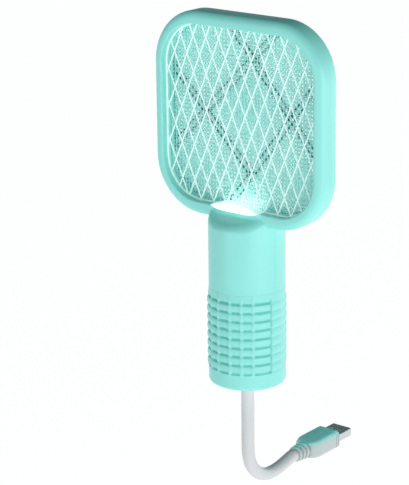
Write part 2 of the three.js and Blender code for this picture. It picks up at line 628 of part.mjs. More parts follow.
function slideSwitch(group) {
  const { w, h, t, floor, leverW } = SLIDE_SWITCH;
  const middle = SWITCH_Z + SWITCH_TRAVEL / 2;
  const slotHalfH = (KNOB_H + SWITCH_TRAVEL) / 2 + GAP;
  const slotHalfW = leverW / 2 + GAP;
  const front = PART_FACE_Y + t;
  const slotY = PART_FACE_Y + floor;
  const body = solid(box(-w / 2, w / 2, PART_FACE_Y, front, middle - h / 2, middle + h / 2));
  const slot = solid(box(-slotHalfW, slotHalfW, slotY, front + 1, middle - slotHalfH, middle + slotHalfH));
  piece(group, 'slide_switch', body.subtract(slot), 'steel');
  const low = SWITCH_Z - KNOB_H / 2;
  const high = SWITCH_Z + KNOB_H / 2;
  const padY = HANDLE_R - KNOB_DEPTH;
  const pad = box(-KNOB_W / 2, KNOB_W / 2, padY, HANDLE_R + KNOB_PROUD, low, high);
  const lever = box(-leverW / 2, leverW / 2, slotY + GAP, padY + 0.4, low, high);
  piece(group, 'slide_switch_knob', allOf([pad, lever]), 'control');
}

function chargeLight(group) {
  const lampTop = PART_FACE_Y + INDICATOR.l;
  const window = throughRod(0, WINDOW_Z, lampTop + 2 * GAP, HANDLE_R + WINDOW_PROUD, WINDOW_R, 12);
  piece(group, 'charge_window', window, 'clear');
  piece(group, 'charge_indicator', throughRod(0, WINDOW_Z, PART_FACE_Y, lampTop, INDICATOR.r, 10), 'red');
}

// ---------------------------------------------------------------- inside the handle
function battery(group) {
  const shoulder = CELL_L - CELL_STUD.h;
  const cell = turned([
    [0, 0], [CELL_R - 0.6, 0], [CELL_R, 0.6], [CELL_R, shoulder - 0.8], [CELL_R - 0.8, shoulder],
    [CELL_STUD.r, shoulder], [CELL_STUD.r, CELL_L], [0, CELL_L],
  ], 20);
  piece(group, 'battery_cell', cell.translate(0, CELL_Y, CELL_Z), 'wrap');

  const arc = new THREE.Shape();
  arc.absarc(0, CELL_Y, CELL_R + GAP + CRADLE_T, Math.PI, 2 * Math.PI, false);
  arc.absarc(0, CELL_Y, CELL_R + GAP, 2 * Math.PI, Math.PI, true);
  arc.closePath();
  piece(group, 'battery_cradle', prism(arc, CELL_Z + 1, CELL_L - 3, 10), 'dark');

  const plusZ = CELL_Z + CELL_L + GAP;
  const half = CONTACT.w / 2;
  const plate = box(-half, half, CELL_Y - half, CELL_Y + half, plusZ, plusZ + CONTACT.t);
  piece(group, 'battery_contact_positive', plate, 'brass');
  piece(group, 'battery_contact_spring', contactSpring(), 'steel');
}

// A short cone of wire under the cell's negative end.
function contactSpring() {
  const perTurn = 6;
  const last = perTurn * SPRING.turns;
  const coil = [];
  for (let i = 0; i <= last; i += 1) {
    const angle = (2 * Math.PI * i) / perTurn;
    const r = SPRING.r0 + ((SPRING.r1 - SPRING.r0) * i) / last;
    const z = CELL_Z - SPRING.drop + (SPRING.rise * i) / last;
    coil.push([r * Math.cos(angle), CELL_Y + r * Math.sin(angle), z]);
  }
  return tubeAlong(coil, SPRING.wire, 6, 2 * last);
}

// A block standing on the board's back, by its middle in X, its foot in Z and its size.
function onBoard(x, w, z, h, t) {
  return box(x - w / 2, x + w / 2, PART_FACE_Y, PART_FACE_Y + t, z, z + h);
}

function transformer(group) {
  const { w, h, yoke, leg } = TRANSFORMER;
  const t = Math.sqrt(BORE_R ** 2 - (w / 2) ** 2) - TRANSFORMER.wallClear - PART_FACE_Y;
  const legX = (w - leg) / 2;
  const foot = BOARD_Z0 + TRANSFORMER.z;
  const top = foot + h;
  const core = allOf([
    onBoard(0, w, foot, yoke, t),
    onBoard(0, w, top - yoke, yoke, t),
    onBoard(-legX, leg, foot + 1, h - 2, t),
    onBoard(legX, leg, foot + 1, h - 2, t),
  ]);
  piece(group, 'transformer_core', core, 'dark');
  const windingW = w - 2 * leg - 2 * GAP;
  const windingH = h - 2 * yoke - 2 * GAP;
  const wound = onBoard(0, windingW, foot + yoke + GAP, windingH, t - TRANSFORMER.inset);
  piece(group, 'transformer_winding', wound, 'brass');
}

function circuitBoard(group) {
  const half = BOARD_HALF_W;
  const board = box(-half, half, BOARD_Y, BOARD_BACK_Y, BOARD_Z0, BOARD_TOP);
  piece(group, 'circuit_board', board, 'board');
  transformer(group);
  const film = roundedRect(CAPACITOR.w, CAPACITOR.h, CAPACITOR.r, 0, BOARD_Z0 + CAPACITOR.z);
  const capacitor = roundedSlab(film, PART_FACE_Y, CAPACITOR.t, CAPACITOR.edge, 2);
  piece(group, 'storage_capacitor', capacitor, 'film');
  [-DIODE.x, DIODE.x].forEach((x, i) => {
    const foot = BOARD_Z0 + DIODE.z;
    const rod = uprightRod(x, PART_FACE_Y + DIODE.r + 0.1, foot, foot + DIODE.l, DIODE.r, 10);
    piece(group, `rectifier_diode_${i + 1}`, rod, 'dark');
  });
  const { x, z, l, r } = RESISTOR;
  const resistorFoot = BOARD_Z0 + z;
  const resistor = uprightRod(x, PART_FACE_Y + r + 0.1, resistorFoot, resistorFoot + l, r, 10);
  piece(group, 'bleed_resistor', resistor, 'wrap');
  const chipZ = BOARD_Z0 + CONTROLLER.z;
  const chip = onBoard(CONTROLLER.x, CONTROLLER.w, chipZ, CONTROLLER.h, CONTROLLER.t);
  piece(group, 'charge_controller', chip, 'dark');
}

function chargingSocket(group) {
  const { wall } = PORT_CAN;
  const top = PORT_MOUTH_Z + PORT_TIP.l + 0.4;
  const w = PORT_TIP.w / 2 + GAP;
  const t = PORT_TIP.t / 2 + GAP;
  const can = solid(box(-w - wall, w + wall, -t - wall, t + wall, PORT_MOUTH_Z, top))
    .subtract(solid(box(-w, w, -t, t, PORT_MOUTH_Z - 1, top - PORT_CAN.roof)));
  piece(group, 'charging_socket', can, 'steel');
  const half = SOCKET_BOARD.w / 2;
  const foot = top + GAP;
  const board = box(-half, half, SOCKET_BOARD.y0, SOCKET_BOARD.y1, foot, foot + SOCKET_BOARD.t);
  piece(group, 'socket_board', board, 'board');
}

// Insulated wires from the circuit board's head end up to the tabs of the two live grids.
function gridLeads(group) {
  const route = (side, tabY) => [
    [side * TAB.x, tabY, TAB_FOOT_Z + 1], [side * TAB.x, tabY, TAB_FOOT_Z - 1.5],
    [side * (TAB.x + 1.6), BOARD_Y - 2.5, TAB_FOOT_Z - 4.2],
    [side * (TAB.x + 2), BOARD_Y - 1.1, TAB_FOOT_Z - 8.6],
  ];
  const positive = tubeAlong(route(1, HV_GRID_Y - 1), LEAD_WIRE_R, 6, 10);
  const negative = tubeAlong(route(-1, FRONT_GUARD_Y + 2.4), LEAD_WIRE_R, 6, 10);
  piece(group, 'grid_lead_positive', positive, 'red');
  piece(group, 'grid_lead_negative', negative, 'dark');
}

// ---------------------------------------------------------------- charging lead
// The cord's route, from the plug in the handle's base, down, round and back to the USB plug's relief.
const CORD_TOP = SWATTER_HANG.z - PORT_BODY.below - GAP;
const CORD_END = [0, -PLUG.l - RELIEF.l - 2 * GAP - 0.2, -PLUG_DROP];
const HANG_Y = SWATTER_HANG.y;
const CORD_ROUTE = [
  [0, HANG_Y, CORD_TOP], [0, HANG_Y, 40], [0, HANG_Y, 34], [0, HANG_Y, 28], [0, HANG_Y, 22],
  [0, HANG_Y, 17], [0, HANG_Y + 0.1, 12.6], [0, HANG_Y + 0.8, 8.0], [0, HANG_Y + 2.6, 3.5],
  [0, HANG_Y + 5.6, -0.4], [0, HANG_Y + 9.7, -3.6], [0, HANG_Y + 14.5, -5.6], [0, HANG_Y + 19.5, -6.3],
  [0, HANG_Y + 25, -6.1], [0, HANG_Y + 30, -5.2], [0, HANG_Y + 34, -4.3], [0, HANG_Y + 36.8, -3.7],
  CORD_END,
];

// The plug that stands in the well of the handle's base, and its metal tip in the socket.
function leadPortEnd(group) {
  const port = new THREE.Group();
  port.position.copy(SWATTER_HANG);
  const { edge, above, below } = PORT_BODY;
  const moulding = new THREE.ExtrudeGeometry(roundedRect(PORT_BODY.w, PORT_BODY.t, PORT_BODY.r), {
    depth: above + below - 2 * edge,
    bevelEnabled: true,
    bevelThickness: edge,
    bevelSize: edge,
    bevelOffset: -edge,
    bevelSegments: 1,
    curveSegments: 4,
  });
  moulding.translate(0, 0, edge - below);
  const pocketFoot = above - PORT_TIP.sunk;
  const pocketShape = roundedRect(PORT_TIP.w + 2 * GAP, PORT_TIP.t + 2 * GAP, 0.8);
  const pocket = prism(pocketShape, pocketFoot, PORT_TIP.sunk + 1, 3);
  piece(port, 'handle_plug', solid(moulding).subtract(solid(pocket)), 'lead');
  const tipFoot = pocketFoot + GAP;
  const tipTop = PORT_MOUTH_Z + PORT_TIP.l - PORT_TIP.short;
  const tip = prism(roundedRect(PORT_TIP.w, PORT_TIP.t, 0.6), tipFoot, tipTop - tipFoot, 3);
  const mouth = prism(roundedRect(PORT_TIP.w - 1.2, 0.7, 0.2), PORT_MOUTH_Z + 1.5, PORT_TIP.l, 2);
  piece(port, 'handle_plug_tip', solid(tip).subtract(solid(mouth)), 'steel');
  group.add(port);
}

// The moulded plug in plan, tapering towards its strain relief, with a pocket for the shell.
function plugBody() {
  const half = PLUG.w / 2;
  const waist = PLUG.waist / 2;
  const plan = new THREE.Shape();
  plan.moveTo(-half, 0);
  plan.lineTo(-half, PLUG.taper - PLUG.l);
  plan.quadraticCurveTo(-half, 1.5 - PLUG.l, -waist, -PLUG.l);
  plan.lineTo(waist, -PLUG.l);
  plan.quadraticCurveTo(half, 1.5 - PLUG.l, half, PLUG.taper - PLUG.l);
  plan.lineTo(half, 0);
  plan.closePath();
  const block = prism(plan, -PLUG_DROP - PLUG.t / 2, PLUG.t, 5);
  const section = slab(roundedRect(PLUG.w, PLUG.t, PLUG.r, 0, -PLUG_DROP), -PLUG.l - 1, PLUG.l + 1, 4);
  const mouth = roundedRect(SHELL.w + 2 * GAP, SHELL.t + 2 * GAP, 0.8, 0, -PLUG_DROP);
  const pocket = slab(mouth, -SHELL.seat - GAP, SHELL.seat + 2, 2);
  return solid(block).intersect(solid(section)).subtract(solid(pocket));
}

function plugShell() {
  const skin = roundedRect(SHELL.w, SHELL.t, 0.6, 0, -PLUG_DROP);
  const bore = roundedRect(SHELL.w - 2 * SHELL.wall, SHELL.t - 2 * SHELL.wall, 0.4, 0, -PLUG_DROP);
  skin.holes.push(bore);
  return slab(skin, -SHELL.seat, SHELL.l + SHELL.seat, 2);
}

function plugContacts(group) {
  const tongueTop = -PLUG_DROP - 0.2;
  const inside = SHELL.w / 2 - SHELL.wall - GAP;
  const floor = -PLUG_DROP - SHELL.t / 2 + SHELL.wall + GAP;
  const tongue = box(-inside, inside, 1 - SHELL.seat, SHELL.l - 0.6, floor, tongueTop);
  piece(group, 'usb_contact_tongue', tongue, 'control');
  const strip = { half: 0.5, t: 0.25, root: 3, outer: 3.5, inner: 1, longer: 0.6 };
  const foot = tongueTop + GAP;
  [-strip.outer, -strip.inner, strip.inner, strip.outer].forEach((x, i) => {
    const reach = Math.abs(x) === strip.outer ? strip.longer : 0;
    const contact = box(
      x - strip.half, x + strip.half, strip.root, SHELL.l - 2 + reach, foot, foot + strip.t);
    piece(group, `usb_contact_${i + 1}`, contact, 'brass');
  });
}

// Three rings with grooves between them, turned about the plug's axis.
function strainRelief() {
  const rings = 3;
  const pitch = RELIEF.l / rings;
  const profile = [[0, 0], [RELIEF.r0, 0]];
  for (let i = 1; i <= rings; i += 1) {
    const r = RELIEF.r0 + ((RELIEF.r1 - RELIEF.r0) * i) / rings;
    const z = i * pitch;
    profile.push([r, z - pitch * 0.75]);
    if (i < rings) profile.push([r, z - pitch * 0.3], [r - 0.8, z - pitch * 0.25], [r - 0.8, z]);
    else profile.push([r, z]);
  }
  profile.push([0, RELIEF.l]);
  return turned(profile, 16).rotateX(-Math.PI / 2).translate(0, -PLUG.l - GAP - RELIEF.l, -PLUG_DROP);
}

function usbPlug(group) {
  piece(group, 'usb_plug_body', plugBody(), 'lead');
  piece(group, 'usb_metal_shell', plugShell(), 'steel');
  plugContacts(group);
  piece(group, 'usb_strain_relief', strainRelief(), 'lead');
}

function chargingLead(group) {
  piece(group, 'charging_cord', tubeAlong(CORD_ROUTE, CORD_D / 2, 12, 28), 'lead');
  usbPlug(group);
  leadPortEnd(group);
}

// ---------------------------------------------------------------- assembly
const swatter = new THREE.Group();
swatter.position.copy(SWATTER_HANG);
housings(swatter);
grids(swatter);
lureLight(swatter);
piece(swatter, 'grip_sleeve', gripSleeve(), 'grip');
piece(swatter, 'end_cap', endCap(), 'shell');
screws(swatter);
pushButton(swatter);
slideSwitch(swatter);
chargeLight(swatter);
battery(swatter);
circuitBoard(swatter);
chargingSocket(swatter);
gridLeads(swatter);

const assembly = new THREE.Group();
assembly.add(swatter);
chargingLead(assembly);

export default assembly;
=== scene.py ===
"""Visual model of a mini electric fly swatter on its own USB charging lead.

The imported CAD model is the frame.  Pieces of the swatter are drawn in millimetres from the centre of the
handle's base, and pieces of the lead in millimetres from the USB plug's shoulder; settle() turns both into
metres in the row frame.  The front of the head faces -Y and +Z runs up along the handle.
"""

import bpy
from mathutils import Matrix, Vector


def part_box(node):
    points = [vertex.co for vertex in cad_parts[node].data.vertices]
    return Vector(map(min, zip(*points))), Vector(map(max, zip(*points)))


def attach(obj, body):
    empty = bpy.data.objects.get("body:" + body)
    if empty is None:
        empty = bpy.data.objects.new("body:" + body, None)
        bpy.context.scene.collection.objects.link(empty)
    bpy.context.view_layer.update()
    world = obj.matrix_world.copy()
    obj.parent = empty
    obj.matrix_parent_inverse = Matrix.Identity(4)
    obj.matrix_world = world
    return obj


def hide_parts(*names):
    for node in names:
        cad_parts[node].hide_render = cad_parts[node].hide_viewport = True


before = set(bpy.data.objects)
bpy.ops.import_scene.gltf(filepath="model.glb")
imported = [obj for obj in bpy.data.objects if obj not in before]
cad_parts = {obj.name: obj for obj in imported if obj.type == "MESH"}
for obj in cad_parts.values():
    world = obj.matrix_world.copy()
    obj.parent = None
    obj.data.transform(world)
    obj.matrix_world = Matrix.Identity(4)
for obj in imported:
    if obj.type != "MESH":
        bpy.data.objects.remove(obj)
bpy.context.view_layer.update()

import math

import bmesh
import bpy
from mathutils import Matrix, Vector

MM = 0.001

# ---- places and sizes, in millimetres
cap_low, cap_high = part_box("end_cap")
grip_low, grip_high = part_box("grip_sleeve")
head_low, head_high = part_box("rear_housing")
spacer_low, spacer_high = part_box("front_spacer_frame")
rear_spacer_low, rear_spacer_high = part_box("rear_spacer_frame")
guard_low, guard_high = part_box("front_guard_grid")
live_low, live_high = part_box("high_voltage_grid")
brace_low, brace_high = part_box("rear_guard_grid")
lens_low, lens_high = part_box("lure_light_lens")

SWATTER = Vector((0, (cap_low.y + cap_high.y) / 2, cap_low.z))  # centre of the handle's base, in metres
LEAD = Vector((0, 0, 0))                                         # shoulder of the USB plug, in metres


def local(point):
    """A row-frame point in millimetres from the centre of the handle's base."""
    return (point - SWATTER) / MM


def depths(node):
    """A node's front and back, in millimetres from the handle's axis."""
    low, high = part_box(node)
    return local(low).y, local(high).y


GAP = 0.3
HEAD_W = (head_high.x - head_low.x) / MM
HEAD_TOP = local(head_high).z
HEAD_H = 101.5
HEAD_Z = HEAD_TOP - HEAD_H / 2
HEAD_R = 27.5
RIM_W = 5.3
RIM_H = 6.6
OPENING_W = HEAD_W - 2 * RIM_W
OPENING_H = HEAD_H - 2 * RIM_H
OPENING_R = 21
SEAT_LAP = 2.8
SEAT_W = OPENING_W + 2 * SEAT_LAP
SEAT_H = OPENING_H + 2 * SEAT_LAP
SEAT_R = OPENING_R + SEAT_LAP
GUARD_Y = (local(guard_low).y + local(guard_high).y) / 2
LIVE_Y = (local(live_low).y + local(live_high).y) / 2
BRACE_Y = (local(brace_low).y + local(brace_high).y) / 2
SEAT_FRONT = local(guard_low).y - GAP
SEAT_BACK = local(brace_high).y + GAP
HEAD_FRONT = SEAT_FRONT - 3.2
HEAD_BACK = SEAT_BACK + 1.2
SEAM_Y = -2.0
SEAM_GAP = 0.08
SHELL_SMOOTH = 38  # degrees

HANDLE_R = 19.0
HANDLE_BORE = 17.0
HANDLE_TOP = 84.6
ROOF_TOP = 88.2
GRIP_FOOT = local(grip_low).z
GRIP_TOP = local(grip_high).z
GRIP_BORE = 17.9
TUBE_R = GRIP_BORE - GAP
CAP_R = (cap_high.x - cap_low.x) / 2 / MM
CAP_H = 8.4
WELL_R = 6.6

LENS_FOOT = ROOF_TOP + 0.5
LENS_TOP = local(lens_high).z
LENS_FRONT = local(lens_low).y
LENS_BACK = local(lens_high).y
LENS_HALF = 15.0
LENS_TIP = 1.9  # how far the ends of the lens's lower edge rise

BUTTON_Z, BUTTON_R = 63.0, 5.6
SWITCH_Z, SWITCH_TRAVEL = 74.5, 3.0
KNOB_W, KNOB_H = 3.4, 3.6
WINDOW_Z, WINDOW_R = 53.6, 1.4
SCREW_X, SCREW_Z = 12.2, 79.0
SCREW_HEAD_R, SCREW_HEAD_Y = 1.9, 9.2
CAP_SCREW_Y = 13.2

PLUG_W, PLUG_T, PLUG_L = 14.6, 9.6, 23.0
SHELL_W, SHELL_T, SHELL_L, SHELL_WALL, SHELL_SEAT = 12.0, 4.5, 12.0, 0.35, 5.0
plug_low, plug_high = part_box("usb_plug_body")
PLUG_Z = (plug_low.z + plug_high.z) / 2 / MM
CORD_D = 6.6
CORD_ROUTE = [  # centreline of the lead, in metres in the row frame
    (0, -0.071, 0.0460), (0, -0.071, 0.040), (0, -0.071, 0.034), (0, -0.071, 0.028), (0, -0.071, 0.022),
    (0, -0.071, 0.017), (0, -0.0709, 0.0126), (0, -0.0702, 0.0080), (0, -0.0684, 0.0035),
    (0, -0.0654, -0.0004), (0, -0.0613, -0.0036), (0, -0.0565, -0.0056), (0, -0.0515, -0.0063),
    (0, -0.046, -0.0061), (0, -0.041, -0.0052), (0, -0.037, -0.0043), (0, -0.0342, -0.0037),
    (0, -0.0318, -0.0036),
]


# ---- camera, floor and lights
def linked(name, data):
    """A new object in the scene that shows the data."""
    obj = bpy.data.objects.new(name, data)
    bpy.context.collection.objects.link(obj)
    return obj


def make_camera():
    """The view is 39 degrees round from the front and 17 degrees down, through a long lens."""
    place, lens = (0.57405, -0.81446, 0.4136), 148.5
    azimuth, pitch, roll = (math.radians(angle) for angle in (38.94, 17.19, -0.73))
    ahead = math.cos(pitch)
    forward = Vector((-math.sin(azimuth) * ahead, math.cos(azimuth) * ahead, -math.sin(pitch)))
    level = Vector((math.cos(azimuth), math.sin(azimuth), 0))
    over = level.cross(forward)
    right = level * math.cos(roll) + over * math.sin(roll)
    up = over * math.cos(roll) - level * math.sin(roll)
    data = bpy.data.cameras.new("camera")
    data.sensor_width = 36
    data.lens = lens
    data.clip_start, data.clip_end = 0.01, 20
    camera = linked("camera", data)
    turn = Matrix((right, up, -forward)).transposed().to_4x4()
    camera.matrix_world = Matrix.Translation(place) @ turn
    bpy.context.scene.camera = camera


def area_light(name, place, target, size, power, color=(1, 1, 1)):
    data = bpy.data.lights.new(name, "AREA")
    data.shape = "RECTANGLE"
    data.size, data.size_y = size
    data.energy = power
    data.color = color
    light = linked(name, data)
    light.location = place
    light.rotation_mode = "QUATERNION"
    light.rotation_quaternion = (Vector(target) - Vector(place)).to_track_quat("-Z", "Y")


def make_floor():
    """A plain pale floor well below the hanging swatter, which glows so that it stays white."""
    reach, drop = 6.0, -0.16
    corners = [(-reach, -reach, drop), (reach, -reach, drop), (reach, reach, drop), (-reach, reach, drop)]
    floor = new_object("floor", corners, [(0, 1, 2, 3)])
    paint = Shader("floor_paint", (0.06, 0.06, 0.06), roughness=0.9)
    grain = paint.noise(3.0, detail=2)
    paint.color(paint.mix(grain, (0.055, 0.056, 0.056), (0.065, 0.066, 0.066)))
    paint.set("Specular IOR Level", 0.05)
    paint.set("Emission Color", (0.985, 1, 1, 1))
    paint.set("Emission Strength", 0.99)
    floor.data.materials.append(paint.material)


def make_world():
    """Light from all round: pale near the floor and a dim mint above it."""
    world = bpy.data.worlds.new("tent")
    bpy.context.scene.world = world
    world.use_nodes = True
    nodes, links = world.node_tree.nodes, world.node_tree.links
    nodes.clear()
    place = nodes.new("ShaderNodeTexCoord")
    axis = nodes.new("ShaderNodeSeparateXYZ")
    ramp = nodes.new("ShaderNodeValToRGB")
    stops = ((0.02, (0.86, 0.9, 0.9, 1)), (0.30, (0.13, 0.25, 0.24, 1)))
    for element, (position, color) in zip(ramp.color_ramp.elements, stops):
        element.position = position
        element.color = color
    back = nodes.new("ShaderNodeBackground")
    back.inputs["Strength"].default_value = 0.62
    out = nodes.new("ShaderNodeOutputWorld")
    links.new(place.outputs["Generated"], axis.inputs[0])
    links.new(axis.outputs["Z"], ramp.inputs["Fac"])
    links.new(ramp.outputs["Color"], back.inputs["Color"])
    links.new(back.outputs[0], out.inputs["Surface"])


def make_light():
    """Three soft lights round the swatter, and the lure light's own glow up the grids."""
    make_world()
    middle = (0, -0.07, 0.14)
    area_light("right_softbox", (1.04, -0.24, 0.10), middle, (1.15, 0.9), 9.2)
    area_light("left_softbox", (-0.24, -1.12, 0.10), middle, (0.5, 0.9), 3.5)
    area_light("rear_softbox", (0.4, 1.1, 0.10), middle, (0.6, 0.7), 2.4)
    lamp = SWATTER + Vector((0, -0.0008, LENS_FOOT * MM + 0.0017))
    area_light("lure_glow", lamp, lamp + Vector((0, 0, 1)), (0.020, 0.003), 0.0012, (0.9, 1, 0.98))
    bpy.context.scene.view_settings.view_transform = "Standard"


# ---- materials
class Shader:
    """A principled material built from procedural nodes in object coordinates."""

    def __init__(self, name, base, roughness, metallic=0.0, coat=0.0):
        self.material = bpy.data.materials.new(name)
        self.material.use_nodes = True
        self.nodes = self.material.node_tree.nodes
        self.links = self.material.node_tree.links
        self.body = self.nodes["Principled BSDF"]
        self.place = self.nodes.new("ShaderNodeTexCoord").outputs["Object"]
        self.set("Base Color", (*base, 1))
        self.set("Roughness", roughness)
        self.set("Metallic", metallic)
        self.set("Coat Weight", coat)

    def set(self, socket, value):
        self.body.inputs[socket].default_value = value

    def noise(self, scale, detail=4.0, stretch=(1, 1, 1)):
        """A noise field of that many cells per metre, from 0 to 1."""
        mapping = self.nodes.new("ShaderNodeMapping")
        mapping.inputs["Scale"].default_value = stretch
        field = self.nodes.new("ShaderNodeTexNoise")
        field.inputs["Scale"].default_value = scale
        field.inputs["Detail"].default_value = detail
        self.links.new(self.place, mapping.inputs["Vector"])
        self.links.new(mapping.outputs["Vector"], field.inputs["Vector"])
        return field.outputs["Fac"]

    def mix(self, factor, low, high):
        blend = self.nodes.new("ShaderNodeMix")
        blend.data_type = "RGBA"
        self.links.new(factor, blend.inputs["Factor"])
        for socket, value in (("A", low), ("B", high)):
            target = [s for s in blend.inputs if s.name == socket and s.type == "RGBA"][0]
            if isinstance(value, tuple):
                target.default_value = (*value, 1)
            else:
                self.links.new(value, target)
        return [s for s in blend.outputs if s.type == "RGBA"][0]

    def span(self, factor, low, high, start=0.0, end=1.0):
        """Maps a field from start..end to low..high."""
        reach = self.nodes.new("ShaderNodeMapRange")
        reach.inputs["From Min"].default_value = start
        reach.inputs["From Max"].default_value = end
        reach.inputs["To Min"].default_value = low
        reach.inputs["To Max"].default_value = high
        self.links.new(factor, reach.inputs["Value"])
        return reach.outputs["Result"]

    def coordinate(self, axis):
        """The place along one axis, in metres in the row frame."""
        split = self.nodes.new("ShaderNodeSeparateXYZ")
        self.links.new(self.place, split.inputs[0])
        return split.outputs[axis]

    def from_middle(self):
        """The distance to either side of the swatter's middle plane."""
        side = self.nodes.new("ShaderNodeMath")
        side.operation = "ABSOLUTE"
        self.links.new(self.coordinate("X"), side.inputs[0])
        return side.outputs[0]

    def color(self, field):
        self.links.new(field, self.body.inputs["Base Color"])

    def roughness(self, field):
        self.links.new(field, self.body.inputs["Roughness"])

    def bump(self, field, depth):
        node = self.nodes.new("ShaderNodeBump")
        node.inputs["Strength"].default_value = 1.0
        node.inputs["Distance"].default_value = depth
        self.links.new(field, node.inputs["Height"])
        self.links.new(node.outputs["Normal"], self.body.inputs["Normal"])


MINT = (0.275, 0.745, 0.695)
# Painted light: the lure light's pool on the grids is emission in their materials.
MESH_SPILL, BRACE_SPILL = 0.0045, 0.014  # how far up the lure light's pool reaches, in metres


def shade(color, factor):
    return tuple(min(1.0, c * factor) for c in color)


def moulded(name, base, rough, grain=2400, depth=0.000012, coat=0.0, vary=0.035):
    """Injection-moulded plastic: slight colour drift, uneven gloss and a fine spark-eroded grain."""
    paint = Shader(name, base, rough, coat=coat)
    drift = paint.noise(55, detail=3)
    paint.color(paint.mix(drift, shade(base, 1 - vary), shade(base, 1 + vary)))
    paint.roughness(paint.span(paint.noise(420, detail=2), rough - 0.02, rough + 0.025, 0.3, 0.7))
    paint.bump(paint.noise(grain, detail=2), depth)
    if coat:
        paint.set("Coat Roughness", 0.12)
    return paint


def metal(name, base, rough, scale=700):
    """Metal with fine drawing or rolling lines across its height."""
    paint = Shader(name, base, rough, metallic=1.0)
    lines = paint.noise(scale, detail=3, stretch=(1, 1, 14))
    paint.color(paint.mix(lines, shade(base, 0.86), shade(base, 1.08)))
    paint.roughness(paint.span(lines, rough - 0.07, rough + 0.1, 0.3, 0.7))
    paint.bump(lines, 0.000006)
    return paint


def make_materials():
    paints = {
        "shell": moulded("shell_plastic", MINT, 0.30, grain=1300, depth=0.000001, vary=0.015),
        "grip": moulded("grip_plastic", shade(MINT, 0.98), 0.32, grain=1500, depth=0.000002, vary=0.015),
        "guard": moulded("guard_coating", (0.74, 0.985, 0.94), 0.34, grain=5000, vary=0.02),
        "live": metal("live_wire", (0.56, 0.98, 0.93), 0.38, scale=1500),
        "rear": moulded("rear_guard_plastic", (0.46, 0.97, 0.91), 0.45, grain=4000),
        "pale": moulded("rear_diamond_coating", (0.62, 0.97, 0.93), 0.4, grain=4000),
        # Painted shade: this dark mint colours the brace bars, which stand for the shaded edges of each
        # brace.
        "brace": moulded("brace_painted_shade", shade(MINT, 0.30), 0.5, grain=4000),
        # Painted light: a pale, glowing brace plastic for the lure light's streak on one brace.
        "streak": moulded("brace_painted_glow", (0.6, 0.95, 0.9), 0.5, grain=4000),
        "lens": lens_glow(),
        "lead": moulded("lead_plastic", (0.60, 0.605, 0.62), 0.36, grain=2600, vary=0.02, coat=0.1),
        "plug": plug_plastic_painted_bounce(),
        "control": moulded("control_plastic", (0.86, 0.89, 0.88), 0.32, coat=0.2, vary=0.02),
        "steel": metal("plated_steel", (0.66, 0.68, 0.70), 0.26),
        "brass": metal("brass_metal", (0.80, 0.58, 0.22), 0.28),
        "board": laminate(),
        "dark": moulded("black_plastic", (0.03, 0.033, 0.036), 0.45, grain=3500),
        "wrap": moulded("battery_film", (0.05, 0.16, 0.42), 0.25, grain=900, coat=0.4),
        "film": moulded("capacitor_resin", (0.33, 0.07, 0.03), 0.35, grain=1500, coat=0.3),
        "red": moulded("red_plastic", (0.45, 0.03, 0.02), 0.4, grain=3000),
        "copper": winding(),
    }
    paints["shell"].set("Specular IOR Level", 0.36)
    paints["grip"].set("Specular IOR Level", 0.34)
    paints["live"].set("Metallic", 0.25)
    # Painted light: the guard, live grid, rear mesh and diamonds glow near the lens, and the guard and
    # diamonds glow faintly all over.
    spills = {"guard": (0.12, 0.45), "live": (0.0, 0.22), "rear": (0.0, 0.12), "pale": (0.12, 0.3)}
    for name, (least, most) in spills.items():
        painted_lure_pool(paints[name], least, most, MESH_SPILL)
    painted_lure_pool(paints["streak"], 0.0, 1.1, BRACE_SPILL)
    return paints


def painted_lure_pool(paint, least, most, reach):
    """Painted light on a piece: emission that stands for the lure light's pool, strongest at the lens's
    middle, gone at its ends and above it except for an even painted glow of least.
    """
    foot = SWATTER.z + (LENS_TOP - 1.0) * MM
    rise = paint.span(paint.coordinate("Z"), most - least, 0.0, foot, foot + reach)
    ends = paint.span(paint.from_middle(), 1.0, 0.0, 0.002, 0.85 * LENS_HALF * MM)
    pool = paint.nodes.new("ShaderNodeMath")
    pool.operation = "MULTIPLY_ADD"
    pool.inputs[2].default_value = least
    paint.links.new(rise, pool.inputs[0])
    paint.links.new(ends, pool.inputs[1])
    paint.links.new(pool.outputs[0], paint.body.inputs["Emission Strength"])
    paint.set("Emission Color", (0.90, 1.0, 0.98, 1))


def lens_glow():
    """A milky window lit from behind, brightest in its middle and fading to its sides."""
    paint = Shader("lens_glow", (0.86, 1.0, 0.97), 0.25, coat=0.3)
    fade = paint.span(paint.from_middle(), 0.55, 0.2, 0.006, LENS_HALF * MM)
    paint.links.new(fade, paint.body.inputs["Emission Strength"])
    tint = paint.mix(paint.noise(260, detail=3), (0.80, 1.0, 0.965), (0.94, 1.0, 0.99))
    paint.links.new(tint, paint.body.inputs["Emission Color"])
    paint.bump(paint.noise(900, detail=2), 0.00002)
    return paint


def plug_plastic_painted_bounce():
    """Light grey moulding whose upper face carries painted mint bounce light from the handle above, fading
    down its sides.
    """
    grey, tint = (0.49, 0.54, 0.535), (0.38, 0.90, 0.89)
    paint = Shader("plug_plastic_painted_bounce", grey, 0.38)
    paint.set("Specular IOR Level", 0.3)
    # Painted light: the mint on the top stands for light bounced off the mint handle above.
    low, high = (PLUG_Z + 2.6) * MM, (PLUG_Z + PLUG_T / 2 - 0.5) * MM
    rise = paint.span(paint.coordinate("Z"), 0.0, 1.0, low, high)
    painted_bounce_color = paint.mix(paint.noise(240, detail=3), shade(tint, 0.9), shade(tint, 1.15))
    paint.color(paint.mix(rise, grey, painted_bounce_color))
    paint.roughness(paint.span(paint.noise(500, detail=2), 0.34, 0.46, 0.3, 0.7))
    paint.bump(paint.noise(2600, detail=2), 0.000012)
    return paint


